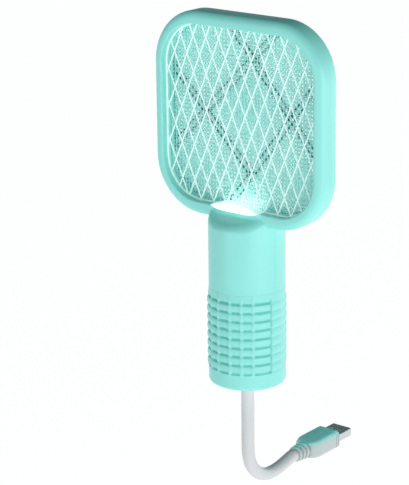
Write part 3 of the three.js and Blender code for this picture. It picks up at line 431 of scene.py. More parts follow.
def laminate():
    """Solder mask over traces, with a woven glass texture under it."""
    paint = Shader("circuit_laminate", (0.02, 0.16, 0.07), 0.32, coat=0.25)
    grid = paint.nodes.new("ShaderNodeTexBrick")
    grid.inputs["Scale"].default_value = 260
    grid.inputs["Mortar Size"].default_value = 0.06
    grid.inputs["Color1"].default_value = (0.018, 0.15, 0.065, 1)
    grid.inputs["Color2"].default_value = (0.022, 0.18, 0.08, 1)
    grid.inputs["Mortar"].default_value = (0.04, 0.26, 0.12, 1)
    paint.links.new(paint.place, grid.inputs["Vector"])
    paint.links.new(grid.outputs["Color"], paint.body.inputs["Base Color"])
    paint.bump(paint.noise(3000, detail=1), 0.00001)
    return paint


def winding():
    """Enamelled copper wire wound in close turns."""
    paint = Shader("copper_winding", (0.62, 0.25, 0.09), 0.3, metallic=0.85, coat=0.3)
    turns = paint.nodes.new("ShaderNodeTexWave")
    turns.bands_direction = "Z"
    turns.inputs["Scale"].default_value = 620
    turns.inputs["Distortion"].default_value = 0.4
    paint.links.new(paint.place, turns.inputs["Vector"])
    paint.color(paint.mix(turns.outputs["Fac"], (0.30, 0.10, 0.03), (0.72, 0.32, 0.12)))
    paint.bump(turns.outputs["Fac"], 0.00006)
    return paint


# ---- mesh tools, in millimetres
def new_object(name, points, faces):
    mesh = bpy.data.meshes.new(name)
    mesh.from_pydata([tuple(p) for p in points], [], faces)
    mesh.validate()
    return linked(name, mesh)


def angles_round(count):
    return [2 * math.pi * i / count for i in range(count)]


def loft(name, rings, around=False):
    """A skin over rings of equal count.  around joins the last ring to the first."""
    count = len(rings[0])
    points = [p for ring in rings for p in ring]
    faces = []
    steps = len(rings) if around else len(rings) - 1
    for i in range(steps):
        low, high = i * count, ((i + 1) % len(rings)) * count
        for j in range(count):
            k = (j + 1) % count
            faces.append((low + j, low + k, high + k, high + j))
    if not around:
        faces.append(tuple(reversed(range(count))))
        faces.append(tuple(range((len(rings) - 1) * count, len(rings) * count)))
    return outward(new_object(name, points, faces))


def outward(obj):
    """Turns every face to point out of its closed body."""
    mesh = bmesh.new()
    mesh.from_mesh(obj.data)
    bmesh.ops.recalc_face_normals(mesh, faces=mesh.faces)
    mesh.to_mesh(obj.data)
    mesh.free()
    return obj


def rounded_outline(w, h, r, steps=14):
    """Points of a rounded rectangle about the centre, going round from the right."""
    r = max(0.01, min(r, w / 2 - 0.01, h / 2 - 0.01))
    points = []
    for cx, cy, start in ((1, 1, 0), (-1, 1, 90), (-1, -1, 180), (1, -1, 270)):
        for i in range(steps + 1):
            a = math.radians(start + 90 * i / steps)
            points.append((cx * (w / 2 - r) + r * math.cos(a), cy * (h / 2 - r) + r * math.sin(a)))
    return points


def head_ring(w, h, r, y, steps=20):
    """A rounded rectangle round the head's centre, at one depth."""
    return [(x, y, HEAD_Z + z) for x, z in rounded_outline(w, h, r, steps)]


def arc(cx, cy, r, start, end, steps):
    """Points of an arc in degrees, both ends included."""
    angles = [math.radians(start + (end - start) * i / steps) for i in range(steps + 1)]
    return [(cx + r * math.cos(a), cy + r * math.sin(a)) for a in angles]


def turned(name, profile, segments=96, centre=(0, 0)):
    """A closed profile of (radius, z) points turned about an upright axis; radius 0 closes an end."""
    profile = [(max(r, 0.0), z) for r, z in profile]
    mesh = bmesh.new()
    rows = []
    for r, z in profile:
        if r < 1e-6:
            rows.append([mesh.verts.new((centre[0], centre[1], z))])
            continue
        ring = [(r * math.cos(a), r * math.sin(a)) for a in angles_round(segments)]
        rows.append([mesh.verts.new((centre[0] + x, centre[1] + y, z)) for x, y in ring])
    pairs = list(zip(rows, rows[1:]))
    if len(rows[0]) > 1:
        pairs.append((rows[-1], rows[0]))
    for low, high in pairs:
        for i in range(segments):
            k = (i + 1) % segments
            corners = [low[i % len(low)], low[k % len(low)], high[k % len(high)], high[i % len(high)]]
            corners = list(dict.fromkeys(corners))
            if len(corners) > 2:
                mesh.faces.new(corners)
    bmesh.ops.recalc_face_normals(mesh, faces=mesh.faces)
    data = bpy.data.meshes.new(name)
    mesh.to_mesh(data)
    mesh.free()
    return linked(name, data)


def block(x0, x1, y0, y1, z0, z1):
    """A plain cutting block."""
    ring = [(x0, y0), (x1, y0), (x1, y1), (x0, y1)]
    return loft("tool", [[(x, y, z) for x, y in ring] for z in (z0, z1)])


def drill(x, z, y0, y1, r, segments=48):
    """A cutting rod along Y."""
    circle = arc(0, 0, r, 0, 360 * (segments - 1) / segments, segments - 1)
    return loft("tool", [[(x + a, y, z + b) for a, b in circle] for y in (y0, y1)])


def applied(obj):
    """Makes the object's modifiers part of its own shape."""
    bpy.context.view_layer.update()
    graph = bpy.context.evaluated_depsgraph_get()
    result = bpy.data.meshes.new_from_object(obj.evaluated_get(graph))
    obj.modifiers.clear()
    obj.data = result
    return obj


def combine(obj, tool, how):
    """One exact boolean, applied at once."""
    step = obj.modifiers.new("step", "BOOLEAN")
    step.operation = how
    step.solver = "EXACT"
    step.object = tool
    applied(obj)
    bpy.data.objects.remove(tool)
    return obj


def carve(obj, tool):
    return combine(obj, tool, "DIFFERENCE")


def joined(name, objects):
    """Separate closed bodies kept as one piece."""
    mesh = bmesh.new()
    for obj in objects:
        mesh.from_mesh(obj.data)
        bpy.data.objects.remove(obj)
    data = bpy.data.meshes.new(name)
    mesh.to_mesh(data)
    mesh.free()
    return linked(name, data)


def soften_edges(obj, width):
    """Rounds the sharp edges, as a mould does."""
    step = obj.modifiers.new("edges", "BEVEL")
    step.width = width
    step.segments = 2
    step.limit_method = "ANGLE"
    step.angle_limit = math.radians(40)
    return applied(obj)


def settle(obj, paint, nodes, smooth, body="swatter", origin=SWATTER):
    """Puts a finished piece in the row frame, on its body, with its material.

    Edges sharper than the angle smooth stay sharp.
    """
    obj.data.transform(Matrix.Translation(origin) @ Matrix.Scale(MM, 4))
    for face in obj.data.polygons:
        face.use_smooth = True
    obj.data.set_sharp_from_angle(angle=math.radians(smooth))
    obj.data.materials.clear()
    obj.data.materials.append(PAINTS[paint].material)
    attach(obj, body)
    if nodes:
        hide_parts(*nodes)
    return obj


# ---- the lead
def make_cord():
    """The charging lead between the handle's plug and the USB plug's strain relief."""
    curve = bpy.data.curves.new("lead_cord", "CURVE")
    curve.dimensions = "3D"
    curve.bevel_depth = CORD_D / 2 * MM
    curve.bevel_resolution = 8
    curve.resolution_u = 8
    curve.use_fill_caps = True
    spline = curve.splines.new("BEZIER")
    spline.bezier_points.add(len(CORD_ROUTE) - 1)
    for knot, place in zip(spline.bezier_points, CORD_ROUTE):
        knot.co = place
        knot.handle_left_type = knot.handle_right_type = "AUTO"
    cord = linked("lead_cord", curve)
    curve.materials.append(PAINTS["lead"].material)
    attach(cord, "charging_lead")
    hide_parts("charging_cord")
    return cord


def plug_ring(w, t, r, y, steps=8):
    """A rounded rectangle round the USB plug's axis, at one place along it."""
    return [(x, y, PLUG_Z + z) for x, z in rounded_outline(w, t, r, steps)]


def make_usb_plug():
    """Moulded plug body: rounded block that tapers in plan towards the strain relief."""
    rear_w, rear_t, taper, corner, steps = 10.0, 8.2, 6.5, 2.6, 26
    rings = []
    for i in range(steps + 1):
        y = -PLUG_L + PLUG_L * (i / steps)
        ease = math.sin(min(1.0, (y + PLUG_L) / taper) * math.pi / 2) ** 0.8
        w = rear_w + (PLUG_W - rear_w) * ease
        rings.append(plug_ring(w, rear_t + (PLUG_T - rear_t) * ease, corner, y))
    rings[-1] = plug_ring(PLUG_W, PLUG_T, corner, -0.45)
    rings[0] = plug_ring(rear_w + 0.2, 8.3, corner, -PLUG_L + 0.4)
    front_edge = [plug_ring(PLUG_W - 0.9, PLUG_T - 0.9, 2.2, 0)]
    body = loft("tool_body", [plug_ring(9.0, 7.4, 2.4, -PLUG_L)] + rings + front_edge)
    pocket = [plug_ring(SHELL_W + 0.3, SHELL_T + 0.3, 0.7, y, 6) for y in (-SHELL_SEAT - GAP, 2)]
    body = carve(body, loft("tool", pocket))
    for y in (-3.1, -1.7):  # two shallow grip lines across the top and sides, near the shell
        bar = loft("tool", [plug_ring(PLUG_W + 3, PLUG_T + 3, 3, y + dy) for dy in (-0.22, 0.22)])
        core = loft("tool", [plug_ring(PLUG_W - 0.5, PLUG_T - 0.5, 2.4, y + dy) for dy in (-0.6, 0.6)])
        body = carve(body, carve(bar, core))
    body.name = "usb_plug_moulding"
    settle(body, "plug", ["usb_plug_body"], 30, "charging_lead", LEAD)
    return body


def make_usb_shell():
    """Rolled steel shell with its two latch windows on each wide side."""
    wall = 2 * SHELL_WALL
    outer = loft("tool_shell", [plug_ring(SHELL_W, SHELL_T, 0.7, y) for y in (-SHELL_SEAT, SHELL_L)])
    inner = loft("tool", [plug_ring(SHELL_W - wall, SHELL_T - wall, 0.4, y)
                          for y in (-SHELL_SEAT - 1, SHELL_L + 1)])
    shell = carve(outer, inner)
    for x in (-2.6, 2.6):
        for low, high in ((1, 4), (-4, -2)):
            window = block(x - 1.2, x + 1.2, 4.9, 7.3, PLUG_Z + low, PLUG_Z + high)
            shell = carve(shell, window)
    shell.name = "usb_steel_shell"
    settle(shell, "steel", ["usb_metal_shell"], 30, "charging_lead", LEAD)
    return shell


def make_relief():
    """Ribbed strain relief, tapered towards the cord."""
    low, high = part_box("usb_strain_relief")
    y0, y1 = low.y / MM, high.y / MM
    rings, count = [], 3
    pitch = (y1 - y0) / count
    profile = [(CORD_D / 2 + 0.05, y0), (3.9, y0 + 0.25)]
    for i in range(count):
        r = 4.1 + 0.25 * i
        foot = y0 + i * pitch
        profile += [(r - 0.12, foot + 0.4), (r, foot + 0.7)]
        profile += [(r, foot + pitch - 1.0), (r - 0.12, foot + pitch - 0.7)]
        if i < count - 1:
            profile += [(r - 0.8, foot + pitch - 0.6), (r - 0.8, foot + pitch + 0.15)]
    profile += [(4.5, y1 - 0.5), (4.45, y1)]
    for r, y in profile:
        ring = arc(0, 0, r, 0, 360 * 47 / 48, 47)
        rings.append([(x, y, PLUG_Z + z) for x, z in ring])
    relief = loft("lead_strain_relief", rings)
    settle(relief, "plug", ["usb_strain_relief"], 35, "charging_lead", LEAD)
    return relief


def make_handle_plug():
    """The lead's other plug, standing in the well of the handle's base."""
    low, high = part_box("handle_plug")
    z0, z1 = local(low).z, local(high).z
    insets = [(0.8, z0), (0.35, z0 + 0.2), (0.1, z0 + 0.5), (0, z0 + 0.9)]
    insets += [(0, z1 - 0.8), (0.3, z1 - 0.25), (0.9, z1)]
    outlines = [(rounded_outline(10.4 - 2 * d, 8.2 - 2 * d, 3.4 - d, 10), z) for d, z in insets]
    rings = [[(x, y, z) for x, y in outline] for outline, z in outlines]
    body = loft("handle_plug_moulding", rings)
    pocket = [[(x, y, z) for x, y in rounded_outline(7.5, 2.4, 0.8, 6)] for z in (z1 - 2, z1 + 1)]
    carve(body, loft("tool", pocket))
    settle(body, "lead", ["handle_plug"], 30, "charging_lead")
    return body


# ---- housings
def rim_profile():
    """The rim's section: (outline it follows, offset from it, depth), once round and closed."""
    edge, lip = 3.9, 0.8
    section = []
    for o, y in arc(-edge, 0, edge, 0, -90, 12):
        section.append(("outer", o, HEAD_FRONT + 3.2 + y * 3.2 / edge))
    for o, y in arc(lip, HEAD_FRONT + lip, lip, -90, -180, 7):
        section.append(("opening", o, y))
    section += [("opening", 0, SEAT_FRONT), ("seat", 0, SEAT_FRONT), ("seat", 0, SEAT_BACK)]
    section.append(("opening", 0, SEAT_BACK))
    back = 0.5
    for o, y in arc(back, HEAD_BACK - back, back, 180, 90, 4):
        section.append(("opening", o, y))
    rear = 2.4
    for o, y in arc(-rear, HEAD_BACK - rear, rear, 90, 0, 8):
        section.append(("outer", o, y))
    return section


def rim_solid():
    outlines = {"outer": (HEAD_W, HEAD_H, HEAD_R), "opening": (OPENING_W, OPENING_H, OPENING_R),
                "seat": (SEAT_W, SEAT_H, SEAT_R)}
    rings = []
    for name, offset, y in rim_profile():
        w, h, r = outlines[name]
        rings.append(head_ring(w + 2 * offset, h + 2 * offset, r + offset, y, 24))
    return loft("rim", rings, around=True)


def roof_height(y):
    """Height of the shoulder's sweep above a place from front to back, before its edge is rounded."""
    lap, sweep = 0.4, 1.8
    front, back = HEAD_FRONT + lap, HEAD_BACK - lap
    if front <= y <= back:
        return ROOF_TOP
    reach = (front + HANDLE_R) if y < front else (HANDLE_R - back)
    away = (front - y) if y < front else (y - back)
    t = min(1.0, away / reach)
    return HANDLE_TOP + (ROOF_TOP - HANDLE_TOP) * (1 - t) ** sweep


def shoulder_solid():
    """The round upper handle, its shoulder swept up to the rim and rounded into the wall."""
    count, fillet, edge_rows, roof_rows, core = 192, 4.2, 12, 24, 0.6
    circle = [(math.cos(a), math.sin(a)) for a in angles_round(count)]
    rings = [[(HANDLE_R * x, HANDLE_R * y, GRIP_TOP + GAP) for x, y in circle]]
    depths = [fillet * (1 - math.cos(math.radians(90 * i / edge_rows))) for i in range(edge_rows + 1)]
    depths += [fillet + (HANDLE_R - core - fillet) * i / roof_rows for i in range(1, roof_rows + 1)]
    for depth in depths:
        r = HANDLE_R - depth
        drop = 0.0
        if depth < fillet:
            drop = fillet - math.sqrt(max(0.0, fillet ** 2 - (fillet - depth) ** 2))
        rings.append([(r * x, r * y, roof_height(r * y) - drop) for x, y in circle])
    return loft("upper_handle", rings)


def bow(start, control, end, steps):
    """A quadratic curve's points, both ends included."""
    points = []
    for i in range(steps + 1):
        t = i / steps
        a, b, c = (1 - t) ** 2, 2 * t * (1 - t), t ** 2
        points.append(tuple(a * start[k] + b * control[k] + c * end[k] for k in (0, 1)))
    return points


def whole_housing():
    """Both housings as one body, hollow inside, with the openings for the lens, controls and screws."""
    body = combine(rim_solid(), shoulder_solid(), "UNION")
    foot, lap, step, roof = CAP_H + GAP, GRIP_TOP + 1, GRIP_TOP + 2.3, HANDLE_TOP - 3.4
    tube = turned("tool", [(0, foot), (TUBE_R, foot), (TUBE_R, lap), (0, lap)])
    combine(body, tube, "UNION")
    bore = [(0, CAP_H), (TUBE_R - 2, CAP_H), (TUBE_R - 2, step)]
    bore += [(HANDLE_BORE, step), (HANDLE_BORE, roof), (0, roof)]
    carve(body, turned("tool", bore))
    for tool in control_cutters() + lens_cutters():
        carve(body, tool)
    return body


def control_cutters():
    """Holes through the rear wall for the button, the window, the switch's knob and the screws."""
    clear, inside, outside = GAP + 0.05, 8, HANDLE_R + 2
    slot_z = SWITCH_Z + SWITCH_TRAVEL / 2
    slot = rounded_outline(KNOB_W + 2 * clear, KNOB_H + SWITCH_TRAVEL + 2 * clear, 0.8, 6)
    cutters = [drill(0, BUTTON_Z, inside, outside, BUTTON_R + clear, 64)]
    cutters.append(drill(0, WINDOW_Z, inside, outside, WINDOW_R + 0.1))
    cutters.append(loft("tool", [[(x, y, slot_z + z) for x, z in slot] for y in (inside, outside)]))
    for x in (-SCREW_X, SCREW_X):
        cutters.append(drill(x, SCREW_Z, SCREW_HEAD_Y - 1.3, outside, SCREW_HEAD_R + GAP))
    return cutters


def lens_foot_line(clear=0.0):
    """The lens's lower edge from its left end to its right: level in the middle, rising to both tips."""
    tip, flat, foot = LENS_HALF + clear, LENS_HALF * 0.35, LENS_FOOT - clear
    left = bow((-tip, LENS_FOOT + LENS_TIP), (-LENS_HALF * 0.8, foot), (-flat, foot), 12)
    return left + [(-x, z) for x, z in reversed(left)]


def lens_cutters():
    clear = 0.12
    side = lens_foot_line(clear)
    side += [(LENS_HALF + clear, HEAD_Z), (-LENS_HALF - clear, HEAD_Z)]
    return [loft("tool", [[(x, y, z) for x, z in side] for y in (HEAD_FRONT - 5, SEAT_FRONT + 0.2)])]


def make_housings():
    whole = whole_housing()
    rear = whole.copy()
    rear.data = whole.data.copy()
    bpy.context.collection.objects.link(rear)
    reach, top = HEAD_W, HEAD_TOP + 20
    front = combine(whole, block(-reach, reach, -reach, SEAM_Y - SEAM_GAP / 2, -5, top), "INTERSECT")
    rear = combine(rear, block(-reach, reach, SEAM_Y + SEAM_GAP / 2, reach, -5, top), "INTERSECT")
    front.name, rear.name = "front_shell", "rear_shell"
    settle(front, "shell", ["front_housing"], SHELL_SMOOTH)
    settle(rear, "shell", ["rear_housing"], SHELL_SMOOTH)


# ---- grids
CELL_W, CELL_H = 7.85, 18.1  # one diamond of the guards
SHORTEST_STRAND = 1.5
MESH_INSET = 1.6
BORDER_W = 3.3
BRACE_CORNERS = ((3, 163), (26, 136.5), (2, 106), (-26, 134))  # X and height above the handle's base


def seat_half(z, inset):
    """Half the width inside the seat at a height above the head's centre."""
    w, h, r = SEAT_W / 2 - inset, SEAT_H / 2 - inset, SEAT_R - inset
    if abs(z) >= h:
        return 0.0
    rise = abs(z) - (h - r)
    if rise <= 0:
        return w
    return w - r + math.sqrt(max(0.0, r * r - rise * rise))


def clipped(ax, az, bx, bz, inset):
    """The part of a straight strand, in X and Z about the head's centre, that lies inside the seat."""
    steps = 400
    inside = []
    for i in range(steps + 1):
        t = i / steps
        x, z = ax + (bx - ax) * t, az + (bz - az) * t
        if abs(x) <= seat_half(z, inset) and abs(z) < SEAT_H / 2 - inset:
            inside.append((x, z))
    return (inside[0], inside[-1]) if len(inside) > 2 else None


def wire(points, r, sides=8):
    """Rings of a round wire that follows points in the plane of the head."""
    rings = []
    last = len(points) - 1
    depth = Vector((0, 1, 0))
    for i, place in enumerate(points):
        before, after = points[max(0, i - 1)], points[min(last, i + 1)]
        along = Vector((after[0] - before[0], 0, after[2] - before[2])).normalized()
        across = Vector((along.z, 0, -along.x))
        turns = [2 * math.pi * (k + 0.5) / sides for k in range(sides)]
        rings.append([Vector(place) + across * (r * math.cos(a)) + depth * (r * math.sin(a)) for a in turns])
    return rings


class Bundle:
    """Many closed strands gathered into one mesh."""

    def __init__(self):
        self.points, self.faces = [], []

    def add(self, rings):
        start, count = len(self.points), len(rings[0])
        for ring in rings:
            self.points += [tuple(p) for p in ring]
        for i in range(len(rings) - 1):
            low, high = start + i * count, start + (i + 1) * count
            for j in range(count):
                k = (j + 1) % count
                self.faces.append((low + j, low + k, high + k, high + j))
        self.faces.append(tuple(start + j for j in reversed(range(count))))
        self.faces.append(tuple(start + (len(rings) - 1) * count + j for j in range(count)))

    def build(self, name):
        return outward(new_object(name, self.points, self.faces))


def straight_strand(bundle, low, high, y, r, inset, sides):
    """One straight wire between two places, cut off where it leaves the seat."""
    ends = clipped(*low, *high, inset)
    if ends is None:
        return
    (ax, az), (bx, bz) = ends
    if math.hypot(bx - ax, bz - az) >= SHORTEST_STRAND:
        bundle.add(wire([(ax, y, HEAD_Z + az), (bx, y, HEAD_Z + bz)], r, sides))


def diamond_strands(bundle, y, wire_r, phase, bow_depth):
    """Two families of straight strands that cross in upright diamonds."""
    slope = CELL_W / CELL_H
    rise = SEAT_H / 2
    count = int(SEAT_W / CELL_W) + 8
    for lean in (-1, 1):
        for i in range(-count, count + 1):
            x0 = phase[0] + i * CELL_W
            low = (x0 - lean * slope * (rise + phase[1]), -rise)
            high = (x0 + lean * slope * (rise - phase[1]), rise)
            straight_strand(bundle, low, high, y + lean * bow_depth, wire_r, 1.8, 8)


def ring_frame(name, outer_inset, inner_inset, y0, y1, edge=0.25):
    """A flat frame that follows the seat, with its edges eased."""
    a, b = outer_inset, inner_inset
    section = [(a + edge, y0), (b - edge, y0), (b, y0 + edge), (b, y1 - edge)]
    section += [(b - edge, y1), (a + edge, y1), (a, y1 - edge), (a, y0 + edge)]
    rings = [head_ring(SEAT_W - 2 * d, SEAT_H - 2 * d, SEAT_R - d, y) for d, y in section]
    return loft(name, rings, around=True)


def make_front_guard():
    """Bright diamond guard just behind the rim."""
    strands = Bundle()
    phase = (2.8, 154.1 - HEAD_Z)
    diamond_strands(strands, GUARD_Y, 0.35, phase, bow_depth=0.1)
    border = ring_frame("tool", GAP, BORDER_W, local(guard_low).y, local(guard_high).y)
    guard = joined("front_diamond_guard", [strands.build("tool"), border])
    settle(guard, "guard", ["front_guard_grid"], 50)


def woven(bundle, y, pitch, r, weave, inset):
    """Plain-woven cloth of wire: every strand passes over one and under the next."""
    reach = SEAT_W * 0.75
    count = int(reach / pitch)
    for family in (0, 1):
        for i in range(-count, count + 1):
            offset = i * pitch
            a = Vector((offset, -reach)) if family == 0 else Vector((-reach, offset))
            b = Vector((offset, reach)) if family == 0 else Vector((reach, offset))
            ends = clipped(*a, *b, inset)
            if ends is None:
                continue
            start, stop = Vector(ends[0]), Vector(ends[1])
            length = (stop - start).length
            if length < 3:
                continue
            first = (start - a).length - reach
            steps = max(2, int(length / (pitch / 2)))
            points = []
            for k in range(steps + 1):
                along = first + length * k / steps
                place = start + (stop - start) * (k / steps)
                phase = math.pi * (along / pitch + i + family)
                points.append((place.x, y + weave * math.cos(phase), HEAD_Z + place.y))
            bundle.add(wire(points, r, 6))


def straight_mesh(bundle, y, pitch, r, inset):
    """Two families of straight fine wires that cross at right angles, both at 45 degrees."""
    reach = SEAT_W * 0.75
    count = int(reach / pitch)
    half = math.sqrt(0.5)
    for lean in (-1, 1):
        for i in range(-count, count + 1):
            offset = i * pitch * half
            a = (offset - reach, lean * (-reach - offset))
            b = (offset + reach, lean * (reach - offset))
            straight_strand(bundle, a, b, y, r, inset, 6)


def make_live_grid():
    """Fine woven live grid between the two guards, with its border."""
    cloth = Bundle()
    woven(cloth, LIVE_Y, pitch=1.95, r=0.25, weave=0.16, inset=MESH_INSET)
    border = ring_frame("tool", GAP, BORDER_W, local(live_low).y, local(live_high).y, 0.15)
    grid = joined("woven_live_grid", [cloth.build("tool"), border])
    settle(grid, "live", ["high_voltage_grid"], 50)


def make_rear_guard():
    """Rear guard: a fine straight mesh behind the live grid, with paler diamond strands."""
    backing = Bundle()
    straight_mesh(backing, BRACE_Y + 0.55, pitch=1.35, r=0.31, inset=MESH_INSET)
    border = ring_frame("tool", GAP, BORDER_W, local(brace_low).y, local(brace_high).y)
    guard = joined("rear_mesh_guard", [backing.build("tool"), border])
    settle(guard, "rear", ["rear_guard_grid"], 50)
    strands = Bundle()
    diamond_strands(strands, BRACE_Y + 0.1, 0.40, (0.4, 5.0), bow_depth=0.05)
    diamonds = strands.build("rear_diamonds")
    settle(diamonds, "pale", [], 50)


def make_braces():
    """Four braces of two dark bars each, painted shade for their edges, which cross in a rhombus; the end of
    one is a pale glowing bar, a painted streak of the lure light.
    """
    bundle, lit = Bundle(), Bundle()
    low_y = local(brace_low).y + 0.05
    high_y = local(brace_high).y - 1.1
    corners = [Vector((x, z - HEAD_Z)) for x, z in BRACE_CORNERS]
    past, spread, lit_w, bar_w = 60, 1.5, 2.6, 0.85
    for i, start in enumerate(corners):
        stop = corners[(i + 1) % 4]
        along = (stop - start).normalized()
        ends = clipped(*(start - along * past), *(stop + along * past), MESH_INSET)
        a, b = Vector(ends[0]), Vector(ends[1])
        across = Vector((along.y, -along.x))
        # Painted light: this brace's end is one pale glowing bar where the lure light falls.
        if i == 2:
            lit.add(bar(start - along * 0.5, a, lit_w, low_y - 0.02, high_y))
            a = start - along * 0.5
        # Painted shade: two dark bars stand for the shaded edges of the brace.
        for side in (-1, 1):
            offset = across * (side * spread)
            bundle.add(bar(a + offset, b + offset, bar_w, low_y, high_y))
    braces = bundle.build("rear_braces")
    settle(braces, "brace", [], 40)
    lit_brace = lit.build("rear_brace_painted_glow")
    settle(lit_brace, "streak", [], 40)


def bar(a, b, width, y0, y1):
    """Rings of a straight bar with eased corners, in the plane of the head."""
    along = (b - a).normalized()
    across = Vector((along.y, -along.x))
    e = min(0.15, width / 4)
    half = width / 2
    section = [(-half + e, y0), (half - e, y0), (half, y0 + e), (half, y1 - e)]
    section += [(half - e, y1), (-half + e, y1), (-half, y1 - e), (-half, y0 + e)]
    rings = []
    for end in (a, b):
        rings.append([(end.x + across.x * s, y, HEAD_Z + end.y + across.y * s) for s, y in section])
    return rings


def make_spacers():
    for node, low, high in (("front_spacer_frame", spacer_low, spacer_high),
                            ("rear_spacer_frame", rear_spacer_low, rear_spacer_high)):
        ring = ring_frame(node.replace("frame", "ring"), GAP, SEAT_LAP, local(low).y, local(high).y, 0.2)
        settle(ring, "rear", [node], 40)


# ---- lure light
def make_lens():
    """Milky arched window at the foot of the opening, crowned towards the front."""
    arch = lens_foot_line()
    arch += bow((LENS_HALF, LENS_FOOT + LENS_TIP), (LENS_HALF * 0.55, LENS_TOP), (0, LENS_TOP), 20)[1:]
    arch += bow((0, LENS_TOP), (-LENS_HALF * 0.55, LENS_TOP), (-LENS_HALF, LENS_FOOT + LENS_TIP), 20)[1:-1]
    middle = (LENS_FOOT + LENS_TOP) / 2 - 1
    crown = ((1.4, 0.0), (0.8, 0.12), (0.35, 0.4), (0.1, 0.9), (0, 1.6))
    rings = []
    for depth, inset in ((LENS_BACK, 0.0), *((LENS_FRONT + back, inset) for back, inset in crown)):
        pull, press = 1 - inset / LENS_HALF, 1 - inset / 3.6
        rings.append([(x * pull, depth, middle + (z - middle) * press) for x, z in arch])
    window = loft("tool_lens", rings)
    stem = block(-9, 9, LENS_BACK - 1.9, LENS_BACK - 0.01, 81.6, LENS_FOOT + 1)
    lens = combine(window, stem, "UNION")
    lens.name = "lure_window"
    settle(lens, "lens", ["lure_light_lens"], 30)


# ---- grip and cap
GROOVE_PITCH = 4.51
GROOVE_TOP = 45.1
RIB_ANGLES = (10.5, 28.5, 46.0)
EDGE_ANGLE = 75.0
BACK_ANGLE = 135.0  # beyond it the front's pattern is repeated, turned about the handle's axis
RIB_HALF, RIB_RISE = 1.35, 0.36
GROOVE_HALF, GROOVE_DEPTH, LINE_DEPTH = 0.85, 1.1, 0.9
CROWN_RISE = 0.55


def bump_at(distance, half):
    """1 at the middle of a ridge, easing to 0 at half its width and beyond."""
    t = min(1.0, abs(distance) / half)
    return 0.5 + 0.5 * math.cos(math.pi * t)


def grip_radius(angle, z):
    """Radius of the grip's surface, angle in degrees from the front."""
    fold = abs((angle + 180) % 360 - 180)
    fold = 180 - fold if fold > BACK_ANGLE else fold
    steps = (GROOVE_TOP - z) / GROOVE_PITCH
    count = int((GROOVE_TOP - GRIP_FOOT) / GROOVE_PITCH)
    nearest = max(0, min(count, round(steps)))
    away = z - (GROOVE_TOP - nearest * GROOVE_PITCH)
    swell = math.sin(math.pi * (steps % 1.0)) if 0 < steps < count else 0.0
    crown = swell ** 0.6 if fold < EDGE_ANGLE else 0.75 * swell
    open_side = 1.0 if fold < EDGE_ANGLE else 0.06
    rib = max(bump_at((fold - a) * math.radians(1) * HANDLE_R, RIB_HALF) for a in RIB_ANGLES)
    groove = bump_at(away - 0.15, GROOVE_HALF) * open_side * (1 - 0.9 * min(1.0, rib * 1.6))
    line = bump_at((fold - EDGE_ANGLE) * math.radians(1) * HANDLE_R, GROOVE_HALF)
    top_fade = min(1.0, max(0.0, (GRIP_TOP - z) / 2.5))
    foot = min(1.0, max(0.0, (10.4 - z) / 1.2))  # the band that swells to meet the cap
    r = HANDLE_R + 0.04 + (CAP_R - HANDLE_R - 0.06) * foot + CROWN_RISE * crown * top_fade
    r += RIB_RISE * rib * top_fade
    r -= GROOVE_DEPTH * groove
    if z < GROOVE_TOP + 1.5:
        r -= LINE_DEPTH * line
    return r


def make_grip():
    """Ribbed sleeve: level bands with grooves between them, crossed by upright ribs."""
    segments, rows = 480, 170
    angles = [360 * i / segments for i in range(segments)]
    circle = [(math.cos(math.radians(angle - 90)), math.sin(math.radians(angle - 90))) for angle in angles]
    rings = []
    z_low, z_high = CAP_H + 0.04, GRIP_TOP + GAP - 0.04
    for j in range(rows + 1):
        z = z_low + (z_high - z_low) * j / rows
        radii = [grip_radius(angle, z) for angle in angles]
        rings.append([(r * x, r * y, z) for r, (x, y) in zip(radii, circle)])
    for z in (z_high, z_low):
        rings.append([(GRIP_BORE * x, GRIP_BORE * y, z) for x, y in circle])
    sleeve = loft("ribbed_grip", rings, around=True)
    settle(sleeve, "grip", ["grip_sleeve"], 60)


def make_cap():
    """End cap with a full round on its lower edge, a charging well and two screw holes."""
    profile = [(0, 0.35), (CAP_R - 6, 0.1), (CAP_R - 2.6, 0.0)]
    profile += arc(CAP_R - 1.9, 1.9, 1.9, -78, 0, 10)
    spigot_r, spigot_top, mouth = TUBE_R - 2.3, CAP_H + 5.8, WELL_R + 0.7
    profile += [(CAP_R, CAP_H - 0.1), (CAP_R - 0.1, CAP_H), (spigot_r, CAP_H), (spigot_r, spigot_top)]
    profile += [(0, spigot_top)]
    cap = turned("base_cap", profile, 160)
    well = [(0, -1), (mouth, -1), (mouth, 0.1), (WELL_R, 0.9), (WELL_R, 20), (0, 20)]
    carve(cap, turned("tool", well, 72))
    for y in (-CAP_SCREW_Y, CAP_SCREW_Y):
        hole = [(0, -1), (SCREW_HEAD_R + GAP, -1), (SCREW_HEAD_R + GAP, 7.8), (1.2, 7.8), (1.2, 20), (0, 20)]
        carve(cap, turned("tool", hole, 40, (0, y)))
    settle(cap, "shell", ["end_cap"], SHELL_SMOOTH)


# ---- controls and screws
def along_y(obj, x, z):
    """Turns a piece made about the Z axis so that its axis runs along Y, at that place."""
    obj.data.transform(Matrix.Translation((x, 0, z)) @ Matrix.Rotation(math.radians(-90), 4, "X"))
    return obj


